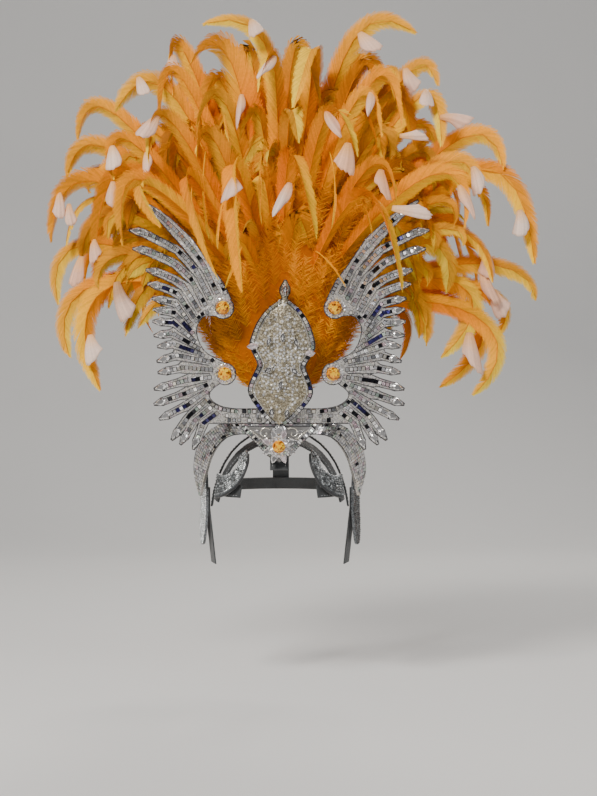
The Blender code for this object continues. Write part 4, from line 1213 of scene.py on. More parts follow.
def feather(pile, quill, half_width, colours, shade, noise, upper=1.0, roof=0.50):
    """A feather: barbs in clumps on both sides of a quill. colours run from the root to the tip.

    The side that bends upwards, upper, gets a painted shade, and the other side a painted light.
    """
    count = max(20, int(quill.length / BARB_PITCH))
    columns = np.array([0.0, 0.36, 0.70, 1.0])
    narrowing = np.array([1.10, 1.06, 0.96, 0.42])
    ways = (np.arange(count) + 0.5) / count * quill.length * 0.985
    ramp_ways = np.linspace(0, 1, len(colours))
    ramp = np.array(colours)
    for side in (-1.0, 1.0):
        shift = np.zeros(count)
        raise_tip = np.zeros(count)
        shades = np.ones(count)
        start = 0
        while start < count:
            end = min(count, start + noise.integers(3, 12))
            split = noise.random() < 0.22
            shift[start:end] = noise.normal(0, 0.0018 if split else 0.0004)
            raise_tip[start:end] = noise.normal(0, 0.0012 if split else 0.0003)
            shades[start:end] = noise.uniform(0.90, 1.07)
            start = end
        reach = half_width * vane_width(ways / quill.length)
        for _ in range(3):
            reach = half_width * vane_width(np.minimum(1.0, (ways + reach * BARB_LEAN) / quill.length))
        reach = reach * noise.uniform(0.90, 1.06, count)
        aside = reach[:, None] * columns
        forward = ways[:, None] + aside * BARB_LEAN + shift[:, None] * columns ** 2
        room = (quill.length * 1.012 - forward) / np.maximum(1e-6, aside * BARB_LEAN + 0.004)
        forward = forward + np.minimum(0.0, room) * aside * BARB_LEAN * 0.6
        lift = -aside * roof * (1 - 0.25 * columns) + raise_tip[:, None] * columns ** 2
        half_pitch = quill.length / count / 2 * narrowing
        share = np.clip(forward / quill.length, 0, 1)
        base = np.stack([np.interp(share, ramp_ways, ramp[:, part]) for part in range(3)], axis=-1)
        # Barbs painted darker by the quill and lighter at their ends: painted shade and painted light
        edge = 0.90 + 0.16 * columns[None, :, None]
        # Painted shade on the upper half of the vane and painted light on the lower half
        half_light = np.array(SHADED_HALF if side == upper else LIT_HALF)
        streak = noise.uniform(0.86, 1.08, (count, 1, 1))
        base = base * shades[:, None, None] * edge * shade * half_light * streak
        add_barbs(pile, quill, forward, half_pitch, aside * side, lift, BARB_THICKNESS, base)
    quill_tube(pile, quill, colours[1], shade)


def quill_tube(pile, quill, colour, shade):
    """The tapered shaft of a feather, four sided."""
    ways = np.linspace(0, quill.length * 0.97, QUILL_STATIONS)
    radius = np.interp(ways / quill.length, (0, 0.6, 1), (0.0010, 0.0006, 0.0002))
    rings = []
    for side, lift in ((1, 0), (0, 1), (-1, 0), (0, -1)):
        rings.append(quill.place(ways, radius * side, radius * lift + 0.0002))
    vertices = np.stack(rings, axis=1).reshape(-1, 3)
    last = (QUILL_STATIONS - 1) * 4
    faces = [(3, 2, 1, 0), (last, last + 1, last + 2, last + 3)]
    for low in range(0, last, 4):
        faces += band(low, low + 4, 4)
    tint = np.array(colour) * shade * 0.9
    pile.add(vertices, np.array(faces), np.tile(tint, (len(vertices), 1)))


def front_colours(noise):
    """Colours along a front feather: deep at the root, and gold to bright yellow at the tip."""
    body = mix(ORANGE, GOLD, noise.uniform(0.0, 0.9))
    tip = mix(GOLD, YELLOW, noise.uniform(0.3, 1.0))
    return DEEP_ORANGE, mix(DEEP_ORANGE, ORANGE, 0.6), mix(ORANGE, body, 0.5), body, mix(body, tip, 0.7), tip


def build_feathers():
    """All the long feathers, in three pieces; returns the middle lines of the front and the back ones."""
    noise = np.random.default_rng(7)

    def add(pile, row, colours, shade, twist, roof=0.50):
        quill = Quill(feather_route(row), noise.uniform(-twist, twist), noise.uniform(-twist, twist) * 0.4)
        upper = 1.0 if row[2] < row[0] else -1.0
        feather(pile, quill, FEATHER_WIDTH * row[7] / 200 * VANE_SHARE, colours, shade, noise, upper, roof)
        return quill

    front = FeatherPile()
    quills = []
    for row in FRONT_FEATHERS:
        colours = (DEEP_ORANGE, OLIVE, OLIVE, mix(OLIVE, GOLD, 0.5)) if row[5] > 35 else front_colours(noise)
        quills.append(add(front, row, colours, noise.uniform(0.9, 1.08), 0.5))
    for points in THIN_FEATHERS:
        places = [pixel_place(*points[index:index + 2]) for index in (0, 2, 4)]
        root, middle, tip = [Vector((x, y, z)) for (x, z), y in zip(places, (-0.070, -0.096, -0.104))]
        bend = middle * 4 / 3 - (root + tip) / 6
        thin = Quill((root, root.lerp(bend, 0.6), tip.lerp(bend, 0.6), tip), 0.4)
        feather(front, thin, THIN_FEATHER_WIDTH, (ORANGE, GOLD, GOLD, YELLOW), noise.uniform(0.7, 1.0), noise)
    front_piece = front.build("front_feathers", FEATHER_FINISH, "orange_feather")
    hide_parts("plume")

    fill = FeatherPile()
    for row in fill_rows(0):
        colours = front_colours(noise)
        if noise.random() < 0.15:
            colours = (*colours[:3], OLIVE, mix(OLIVE, GOLD, 0.4))
        add(fill, row, colours, noise.uniform(0.66, 1.0), 0.7)
    fill.build("fill_feathers", FEATHER_FINISH, "orange_feather")

    back = FeatherPile()
    back_quills = []
    for row in back_feather_rows() + fill_rows(1):
        colours = (DEEP_ORANGE, mix(DEEP_ORANGE, ORANGE, 0.6), mix(ORANGE, GOLD, 0.3), GOLD)
        back_quills.append(add(back, row, colours, noise.uniform(0.8, 1.0), 0.5, -0.5))
    back.build("back_feathers", FEATHER_FINISH, "orange_feather")
    return quills, back_quills[:BACK_FEATHERS]


def fluff_point(angle, level, share=1.0):
    """A point of the mound of fluff. Angle 0 is the front, and level runs from 0 to 1."""
    levels = [row[0] / 100 for row in FLUFF_ROWS]
    half_width = FLUFF_HALF_WIDTH * np.interp(level, levels, [row[1] / 100 for row in FLUFF_ROWS])
    half_depth = FLUFF_HALF_DEPTH * np.interp(level, levels, [row[2] / 100 for row in FLUFF_ROWS])
    x = half_width * share * math.sin(angle)
    y = fluff_front() + FLUFF_HALF_DEPTH - half_depth * share * math.cos(angle)
    return Vector((x, y, FLUFF_BOTTOM + FLUFF_HEIGHT * level))


def build_fluff():
    """Small down plumes that stand up all over the mound, on a core."""
    noise = np.random.default_rng(11)
    pile = FeatherPile()
    vertices = []
    for row in range(CORE_LEVELS + 1):
        angles = [2 * math.pi * sector / CORE_SECTORS for sector in range(CORE_SECTORS)]
        vertices.extend(fluff_point(angle, row / CORE_LEVELS, FLUFF_CORE) for angle in angles)
    faces = []
    for row in range(CORE_LEVELS):
        faces += band(row * CORE_SECTORS, (row + 1) * CORE_SECTORS, CORE_SECTORS)
    core = np.array(dim(DEEP_ORANGE, 0.9))
    pile.add(np.array(vertices), np.array(faces), np.tile(core, (len(vertices), 1)))
    golden_turn = math.pi * (3 - math.sqrt(5))
    for index in range(FLUFF_PLUMES):
        level = (index + 0.5) / FLUFF_PLUMES * 0.94
        angle = index * golden_turn if index % 3 else noise.uniform(-1.5, 1.5)
        base = fluff_point(angle, level, 0.90)
        outward = Vector((math.sin(angle), -math.cos(angle) * 0.5, 0.0))
        length = noise.uniform(0.030, 0.052)
        top = base + Vector((outward.x * 0.35, outward.y * 0.25, 1.0)).normalized() * length
        first = base.lerp(top, 0.35) + outward * length * noise.uniform(0.08, 0.22)
        second = base.lerp(top, 0.75) + outward * length * 0.2
        tip = top + outward * length * noise.uniform(0.0, 0.2) + Vector((noise.normal(0, 0.004), 0, 0))
        handles = (base, first, second, tip)
        quill = Quill(handles, noise.uniform(-0.8, 0.8), noise.uniform(-0.5, 0.5), 10)
        # A random share of gold in the down's colour, plus painted light that grows towards the bottom of the
        # mound, where the wings cast shade
        gold_share_and_painted_light = noise.uniform(0.05, 0.5) + 0.3 * (1 - level)
        down_plume(pile, quill, mix(DEEP_ORANGE, GOLD, gold_share_and_painted_light), noise)
    pile.build("fluff", DOWN_FINISH, "orange_feather")


def down_plume(pile, quill, colour, noise):
    """A small plume of loose, fine and wavy barbs."""
    count = DOWN_BARBS
    columns = np.array([0.0, 0.35, 0.7, 1.0])
    thin = np.array([0.00050, 0.00042, 0.00030, 0.00010])
    ways = np.linspace(0.05, 0.97, count) * quill.length
    spread = np.interp(ways / quill.length, (0, 0.5, 1), (0.7, 1, 0.35))
    for side in (-1.0, 1.0):
        reach = quill.length * 0.30 * noise.uniform(0.6, 1.1, count) * spread
        aside = reach[:, None] * columns * (1 - 0.15 * columns)
        forward = ways[:, None] + aside * noise.uniform(0.5, 1.3, (count, 1))
        forward = forward + noise.normal(0, 0.0006, (count, len(columns))) * columns
        lift = noise.normal(0, 0.0035, (count, 1)) * columns ** 1.5
        streak = noise.uniform(0.85, 1.15, (count, 1, 1))
        tints = np.array(colour) * streak * (0.9 + 0.2 * columns[None, :, None])
        add_barbs(pile, quill, forward, thin, aside * side, lift, 0.0, tints)


def pale_end(pile, top, down, forward, size, width, colour):
    """A pale cut end of a feather: a cupped fan, narrow at the top, or a sliver where the width is slim."""
    across = down.cross(forward).normalized()
    forward = across.cross(down).normalized()
    length = PALE_LENGTH * size * (1 + (1 - width) * 0.9)
    wide, narrow = PALE_HALF_WIDTH * size * width, PALE_TOP * size
    rows, columns = 10, 11
    bend = rng.uniform(0.35, 0.60)
    skew = rng.uniform(-0.32, 0.32)
    curve = rng.uniform(-0.20, 0.20)
    hem = [rng.uniform(-0.05, 0.05) for _ in range(columns)]
    streaks = [rng.uniform(0.84, 1.03) for _ in range(columns)]
    layers = []
    for depth in (0.0, PALE_THICKNESS):
        grid = []
        for row in range(rows):
            way = row / (rows - 1)
            if width < 0.5:
                half = narrow * 0.4 + wide * math.sin(math.pi * min(1.0, way * 0.92 + 0.04)) ** 0.7
            else:
                half = narrow + (wide - narrow) * way ** 0.85 * (1 - 0.22 * way ** 5)
            for column in range(columns):
                side = 2 * column / (columns - 1) - 1
                drop = length * way * (1 - (0.16 * side * side + skew * side - hem[column]) * way)
                cup = bend * half * (1 - side * side) + 0.0005 * way * math.cos(side * 7)
                rise = 0.0010 + 0.0048 * min(1.0, way * 2.5) + cup + depth
                aside = half * side + curve * length * way * way
                grid.append(top + across * aside + down * drop + forward * rise)
        layers.append(grid)
    count = rows * columns
    faces = []
    tints = []
    for row in range(rows - 1):
        tone = mix(mix(colour, GOLD, 0.55), colour, min(1.0, row / 5))
        for column in range(columns - 1):
            corner = row * columns + column
            ring = (corner, corner + 1, corner + columns + 1, corner + columns)
            faces.append(ring)
            faces.append(tuple(count + index for index in reversed(ring)))
            tints.extend([dim(tone, streaks[column])] * 2)
    border = list(range(columns))
    border.extend(row * columns + columns - 1 for row in range(1, rows))
    border.extend(count - 1 - column for column in range(1, columns))
    border.extend(row * columns for row in range(rows - 2, 0, -1))
    for start, end in zip(border, border[1:] + border[:1]):
        faces.append((start, start + count, end + count, end))
        tints.append(colour)
    pile.add(layers[0] + layers[1], faces, tints)


def build_pale_ends(quills, back_quills):
    """Each pale end hangs from the feather that passes nearest to its place in the photograph."""
    pile = Pile()
    for pixel_x, pixel_y, turn, size, width, paleness in PALE_ENDS:
        x, z = pixel_place(pixel_x, pixel_y)
        best = None
        for quill in quills:
            gaps = np.hypot(quill.points[:, 0] - x, quill.points[:, 2] - z) + quill.points[:, 1] * 0.08
            index = int(np.argmin(gaps))
            if best is None or gaps[index] < best[0]:
                best = (gaps[index], quill, index)
        _, quill, index = best
        top = Vector(quill.points[index])
        top += (Vector((x, top.y, z)) - top) * 0.6
        angle = math.radians(turn)
        ahead = quill.points[min(len(quill.points) - 1, index + 5)] - quill.points[index]
        lean = max(-0.5, min(0.2, ahead[1] / max(0.004, math.hypot(ahead[0], ahead[2]))))
        down = Vector((math.sin(angle), lean, -math.cos(angle))).normalized()
        colour = mix(ORANGE, mix(PALE_PINK, PALE_WHITE, rng.random()), paleness / 100)
        pale_end(pile, top, down, FORWARD, size / 100, width / 100, colour)
    for quill in back_quills[1::2]:
        top = Vector(quill.points[int(len(quill.points) * FEATHER_APEX_WAY)])
        down = Vector((rng.uniform(-0.3, 0.3), 0.3, -1.0)).normalized()
        colour = mix(ORANGE, PALE_PINK, 0.85)
        pale_end(pile, top, down, -FORWARD, rng.uniform(0.9, 1.2), 0.8, colour)
    pile.build("pale_ends", PALE_FINISH, "orange_feather", smooth=True)


# Wings

def ray_frame(index):
    """The base, tip and bow of one ray of a wing."""
    tip_x, tip_z, split_x, split_z, bow = WING_RAYS[index]
    above = WING_SHOULDER[-1] if index == 0 else WING_RAYS[index - 1][2:4]
    first, second, tip = scaled((above, (split_x, split_z), (tip_x, tip_z)), WING_REACH, WING_RISE)
    return (first + second) / 2, tip, bow


def ray_point(index, way):
    base, tip, bow = ray_frame(index)
    run = tip - base
    lift = turned(run) * bow / 100
    point = base + run * way + lift * 4 * way * (1 - way)
    return point, (run + lift * 4 * (1 - 2 * way)).normalized()


def tile_colours(count):
    """Colours along one column of tiles: silver, with a run of dark or blue ones."""
    colours = [silver_tint() for _ in range(count)]
    if rng.random() < 0.72 and count > 4:
        start = rng.randrange(1, count - 2)
        dark = rng.choice((MIRROR_BLACK, MIRROR_BLACK, MIRROR_BLUE, mix(MIRROR_BLACK, MIRROR_BLUE, 0.5)))
        for index in range(start, min(count, start + rng.randrange(1, 5))):
            colours[index] = dark
    for index in range(count):
        if rng.random() < 0.06:
            colours[index] = MIRROR_BLACK
        elif rng.random() < 0.05:
            colours[index] = MIRROR_WHITE
    return colours


def pear_outline(tip, direction):
    """Points of a pear shape that ends at tip, seen along its direction."""
    across = turned(direction)
    half = TIP_STONE_WIDTH / 2
    profile = (
        (0.0, 0.0), (0.16, 0.26), (0.34, 0.62), (0.52, 0.90), (0.68, 1.0), (0.84, 0.84), (0.95, 0.46),
    )
    shares = list(profile) + [(1.0, 0.0)] + [(back, -out) for back, out in reversed(profile[1:])]
    return [tip - direction * TIP_STONE_LENGTH * back + across * half * out for back, out in shares]


def build_wing_trim():
    """Columns of tiles up the rays, crystals and seams beside them, and a stone at each tip."""
    tiles, crystals, stones, piping = Pile(), Pile(), Pile(), Pile()
    ends = even_line(smooth_line(scaled(COLUMN_ENDS, WING_REACH, WING_RISE), 6), 0.0005)
    jewels = scaled((UPPER_JEWEL, LOWER_JEWEL), WING_REACH, WING_RISE)
    rays = range(len(WING_RAYS))
    inner = [ends[round((len(ends) - 1) * index / rays[-1])][0] for index in rays]
    for side, sign in SIDES:
        face = Face("wing_" + side)
        place = wing_place(sign)
        taken = []

        def surface(u, v):
            return place(u, v, WING_THICKNESS)

        def on_plate(point, margin=0.0014):
            hit, _ = face.front(sign * point.x, point.y)
            return hit is not None and all((point - jewel).length > HALO_RADIUS + margin for jewel in jewels)

        def is_free(point, gap):
            return all((point - other).length > gap for other, _ in taken)

        def set_tile(point, direction, width, length, colour):
            corners = corner_points(point, direction, 1.1 * length, 1.1 * width)
            if all(on_plate(corner) for corner in corners):
                tile_on(tiles, point, direction, width, length, surface, colour)
                taken.append((point, 0.55 * max(width, length)))

        def set_crystal(point, radius, colour):
            if not on_plate(point):
                return
            if any((point - other).length < size + radius * 0.9 for other, size in taken):
                return
            hit, normal = face.front(sign * point.x, point.y)
            crystal(crystals, seat(hit, normal, UP), radius, radius * 0.8, colour)
            taken.append((point, radius))

        def ray_line(index, top_way, stone_share):
            """Points up the middle of a ray, as far as top_way or a share of its stone."""
            base, tip, _ = ray_frame(index)
            last = top_way if index == 0 else 1 - TIP_STONE_LENGTH * stone_share / (tip - base).length
            return [ray_point(index, last * step / 12)[0] for step in range(13)]

        for index in rays:
            column = even_line([inner[index]] + ray_line(index, 0.86, 1.0)[1:], TILE_PITCH)
            for (point, direction), colour in zip(column, tile_colours(len(column))):
                if is_free(point, TILE_PITCH * 0.92):
                    set_tile(point, direction, TILE, TILE, colour)
        for index in rays:
            for point, direction in even_line([inner[index]] + ray_line(index, 0.93, 0.8), CRYSTAL_PITCH):
                for out in (-1.0, 1.0):
                    spot = point + turned(direction) * out * (RAY_WIDTH / 2 - RAY_CRYSTAL_INSET)
                    set_crystal(spot, CRYSTAL_RADIUS, silver_tint())
            if index < rays[-1]:
                split = scaled([WING_RAYS[index][2:4]], WING_REACH, WING_RISE)[0]
                seam = [split.lerp((inner[index] + inner[index + 1]) / 2, step / 8) for step in range(9)]
                seam = [place(spot.x, spot.y, WING_THICKNESS + 0.0002) for spot in seam if on_plate(spot)]
                if len(seam) > 2:
                    tube(piping, seam, SEAM_RADIUS, PIPING_DARK, 5)
        for edge in (WING_NOTCH, WING_ARMPIT, WING_SHOULDER):
            line = smooth_line(scaled(edge, WING_REACH, WING_RISE), 8)
            for point, direction in even_line(line, TILE_PITCH):
                inward = turned(direction)
                if not on_plate(point + inward * 0.003):
                    inward = -inward
                spot = point + inward * EDGE_TILE_INSET
                if is_free(spot, TILE_PITCH * 0.75):
                    colour = MIRROR_BLACK if rng.random() < 0.22 else silver_tint()
                    set_tile(spot, direction, TILE * 0.9, TILE * 0.9, colour)
        run = even_line([Vector(end) for end in STEM_RUN], TILE_PITCH * 1.2)
        for row, offset in enumerate(STEM_ROWS):
            for point, direction in run:
                spot = point + Vector((row % 2 * STEM_STAGGER, offset))
                if rng.random() < 0.2:
                    colour = rng.choice((MIRROR_BLACK, MIRROR_WHITE, MIRROR_WHITE))
                else:
                    colour = silver_tint()
                if rng.random() < 0.7 and is_free(spot, TILE_PITCH):
                    width, length = [TILE * rng.uniform(0.7, 1.1) for _ in range(2)]
                    set_tile(spot, direction, width, length, colour)
        for row in range(int(WING_RISE / WING_GRID) + 9):
            for column in range(int(WING_REACH / WING_GRID) + 1):
                spot = Vector((column * WING_GRID + row % 2 * WING_GRID / 2, row * WING_GRID - 0.024))
                set_crystal(spot + jitter(WING_JITTER), CRYSTAL_RADIUS, dim(silver_tint(), 0.8))
        for index in rays[1:]:
            outline = pear_outline(*ray_point(index, 1.0))
            cut_stone(stones, outline, place, WING_THICKNESS + CLEARANCE, TIP_STONE_HEIGHT, clear_pick)
    tiles.build("wing_tiles", TILE_FINISH, "mirror_silver")
    crystals.build("wing_crystals", CRYSTAL_FINISH, "clear_stone")
    piping.build("wing_seams", PIPING_FINISH, "mirror_silver")
    tips = stones.build("tip_stones", CRYSTAL_FINISH, "clear_stone")
    for side in ("left", "right"):
        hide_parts(*[f"tip_stone_{side}_{index + 1:02d}" for index in rays[1:]])


def build_outlines():
    """A dark line along the front edge of every plate, where the board's cut edge shows."""
    piping = Pile()
    for name in ("wing_left", "wing_right", "medallion", "brow_plate", "crescent_left", "crescent_right"):
        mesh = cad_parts[name].data
        places = [tuple(round(part, 6) for part in vertex.co) for vertex in mesh.vertices]
        ahead = {}
        for face in mesh.polygons:
            for first, second in face.edge_keys:
                key = tuple(sorted((places[first], places[second])))
                ahead.setdefault(key, []).append(face.normal.y < -0.6)
        limit = -FRONT_REACH + 0.5 * BANDEAU_CURL if name.startswith("crescent") else 1.0
        for (first, second), sides in ahead.items():
            if len(sides) != 2 or sides[0] == sides[1]:
                continue
            start, end = Vector(first), Vector(second)
            if (end - start).length < 1e-5 or start.y > limit:
                continue
            over = (end - start).normalized() * PIPING_RADIUS * 0.5
            tube(piping, [start - over, end + over], PIPING_RADIUS, PIPING_DARK, 5)
    piping.build("plate_outlines", PIPING_FINISH, "mirror_silver")


def build_jewels():
    """Amber stones, with a halo of small clear stones round each one on the wings."""
    ambers, halos = Pile(), Pile()
    for sign in (-1.0, 1.0):
        place = wing_place(sign)
        for centre in scaled((UPPER_JEWEL, LOWER_JEWEL), WING_REACH, WING_RISE):
            base = WING_THICKNESS + CLEARANCE

            def local(u, v, depth):
                return place(centre.x + u, centre.y + v, base + depth)

            ring = ring_points(12, JEWEL_RADIUS * 0.98)
            cut_stone(ambers, ring, local, 0.0006, JEWEL_HEIGHT, amber_pick, 0.30)
            cut_stone(halos, ring_points(24, HALO_RADIUS), local, 0.0, 0.0014, clear_pick)
            for point in ring_points(HALO_STONES, (JEWEL_RADIUS + HALO_RADIUS) / 2 + 0.0002):
                spot = local(point.x, point.y, 0.0010)
                front_crystal(halos, spot, HALO_STONE_RADIUS, HALO_HEIGHT - 0.0010, halo_tint(), 8)
    place = crescent_place(1.0, CRESCENT_THICKNESS + STRAP_GAP + BROW_THICKNESS + CLEARANCE)

    def flower(u, v, depth):
        return place(u, FLOWER_LEVEL + v, depth)

    ring = ring_points(12, FLOWER_STONE_RADIUS)
    cut_stone(ambers, ring, flower, PETAL_HEIGHT + CLEARANCE, FLOWER_STONE_HEIGHT, amber_pick, 0.30)
    boss = crescent_place(1.0, CRESCENT_THICKNESS + STRAP_GAP + BROW_THICKNESS)
    for radius, height in ((0.0078, 0.0016), (0.0055, 0.0034)):
        ring = [point + Vector((0.0, 0.0015)) for point in ring_points(20, radius)]
        cut_stone(halos, ring, boss, -0.0005, height, clear_pick)
    for petal in range(FLOWER_PETALS):
        angle = 2 * math.pi * (petal + 0.5) / FLOWER_PETALS
        out = Vector((math.sin(angle), math.cos(angle)))
        length = FLOWER_RADIUS * 0.56
        centre = out * (FLOWER_RADIUS - length * 0.5)
        outline = marquise_outline(centre, angle, length, length * 0.62)
        pick = rose_pick if petal % 3 == 0 else clear_pick
        cut_stone(halos, outline, flower, PETAL_HEIGHT * 0.55, PETAL_HEIGHT * 0.75, pick)
        halfway = angle + math.pi / FLOWER_PETALS
        between = Vector((math.sin(halfway), math.cos(halfway)))
        spot = flower(*(between * FLOWER_RADIUS * 0.50), PETAL_HEIGHT)
        front_crystal(halos, spot, *FLOWER_CRYSTAL, silver_tint(), 8)
    amber_piece = ambers.build("amber_stones", AMBER_FINISH, "amber_stone")
    halo_piece = halos.build("halo_stones", CRYSTAL_FINISH, "clear_stone")
    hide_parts("flower_stone")
    jewels = [f"wing_jewel_{side}_{level}" for side in ("left", "right") for level in ("upper", "lower")]
    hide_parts(*jewels)


def marquise_outline(centre, turn, length, width):
    along = Vector((math.sin(turn), math.cos(turn)))
    across = Vector((along.y, -along.x))
    shares = ((0.5, 0.0), (0.34, 0.25), (0.17, 0.43), (0.0, 0.5), (-0.17, 0.43), (-0.34, 0.25))
    shares = shares + tuple((-ahead, -out) for ahead, out in shares)
    return [centre + along * length * ahead + across * width * out for ahead, out in shares]


# Medallion

def build_medallion_trim():
    """Tiles round the rim, large stones, and beads and grains that fill what they leave."""
    face = Face("medallion")
    tiles, crystals = Pile(), Pile()
    rows = smooth_line([Vector(row) for row in MEDALLION_ROWS], 6)
    levels = [row.x for row in reversed(rows)]
    widths = [row.y for row in reversed(rows)]
    placed = []
    stones = []
    for side, level, turn, size in MEDALLION_STONES:
        centre = Vector((MEDALLION_HALF_WIDTH * side / 100, MEDALLION_HEIGHT * level / 100))
        stones.append((centre, math.radians(turn), size / 100))

    def half_width(v):
        return MEDALLION_HALF_WIDTH * float(np.interp(v / MEDALLION_HEIGHT * 100, levels, widths)) / 100

    def ground(u, v):
        spot = medallion_place(u, v, 0.0)
        return face.front(spot.x, spot.z)

    def rim_place(u, v):
        return medallion_place(u, v, MEDALLION_THICKNESS + MEDALLION_RIM_RISE)

    def set_crystal(point, radius, colour, sides=6):
        for centre, turn, size in stones:
            along = Vector((math.sin(turn), math.cos(turn)))
            apart = point - centre
            lengthways = apart.dot(along) / (MARQUISE_LENGTH * size / 2 + radius)
            sideways = apart.dot(turned(along)) / (MARQUISE_WIDTH * size / 2 + radius)
            if abs(lengthways) + abs(sideways) * 0.9 < 1.0:
                return
        if any((point - other).length < (radius + size) * 0.94 for other, size in placed):
            return
        hit, normal = ground(point.x, point.y)
        if hit is None or normal.y > -0.55:
            return
        crystal(crystals, seat(hit, normal, UP), radius, radius * 0.95, colour, sides)
        placed.append((point, radius))

    for side in (-1.0, 1.0):
        levels_up = [MEDALLION_HEIGHT * step / 90 for step in range(1, 77)]
        rim = [Vector((side * max(0.0, half_width(v) - RIM_TILE_INSET), v)) for v in levels_up]
        for point, direction in even_line(rim, RIM_TILE_PITCH):
            colour = silver_tint()
            upper = point.y > MEDALLION_HEIGHT * 0.5
            # Painted reflections of gold and white on the upper tiles of the left side
            if side < 0 and upper:
                colour = mix(GOLD_REFLECTION, MIRROR_WHITE, rng.random())
            elif rng.random() < 0.28:
                colour = rng.choice((MIRROR_BLACK, MIRROR_BLACK, MIRROR_BLACK, MIRROR_BLUE))
            if abs(point.x) > 0.004 and point.y < MEDALLION_HEIGHT * 0.85:
                tile_on(tiles, point, direction, *RIM_TILE, rim_place, colour, RIM_TILE_HEIGHT)
                placed.append((point, 0.0022))
        border = [Vector((side * max(0.0, abs(point.x) - BORDER_INSET), point.y)) for point in rim]
        for point, direction in even_line(border, BORDER_PITCH):
            set_crystal(point, BORDER_RADIUS, dim(MIRROR_WHITE, rng.uniform(0.55, 1.0)))
    for centre, turn, size in stones:
        outline = marquise_outline(centre, turn, MARQUISE_LENGTH * size * 1.07, MARQUISE_WIDTH * size * 1.1)
        height = MEDALLION_DOME + MARQUISE_HEIGHT * size + 0.0006
        cut_stone(crystals, outline, medallion_place, MEDALLION_THICKNESS * 0.95, height, marquise_pick, 0.16)
    for side, level, length in ((-1.0, 0.530, 0.0135), (1.0, 0.500, 0.0125)):
        v = MEDALLION_HEIGHT * level
        centre = Vector((side * (half_width(v) - 0.0030), v))
        outline = marquise_outline(centre, math.radians(84), length, 0.0078)
        cut_stone(crystals, outline, medallion_place, MEDALLION_THICKNESS * 1.25, 0.0040, rose_pick, 0.16)
    middle = Vector((0.0, MEDALLION_HEIGHT * 0.46))
    for _ in range(MEDALLION_BEADS):
        point = middle + Vector((rng.gauss(0, 0.014), rng.gauss(0, 0.022)))
        if abs(point.x) < half_width(point.y) * 0.76:
            white = dim(MIRROR_WHITE, rng.choice((0.6, 0.9, 1.0, 1.1)))
            set_crystal(point, rng.uniform(*MEDALLION_BEAD), white, 8)
    grid = MEDALLION_GRID
    for row in range(int(MEDALLION_HEIGHT / grid)):
        for column in range(-16, 17):
            point = Vector((column * grid + row % 2 * grid / 2, row * grid)) + jitter(MEDALLION_JITTER)
            if abs(point.x) < half_width(point.y) * 0.97:
                set_crystal(point, rng.uniform(*MEDALLION_GRAIN), dim(CHAMPAGNE, rng.uniform(0.6, 1.25)))
    tiles.build("medallion_tiles", TILE_FINISH, "mirror_silver")
    crystals.build("medallion_crystals", CRYSTAL_FINISH, "clear_stone")


# Bandeau

def ribbon(rows, reach, drop, steps):
    first = smooth_line(scaled([row[:2] for row in rows], reach, drop), steps)
    second = smooth_line(scaled([row[2:] for row in rows], reach, drop), steps)
    return first, second


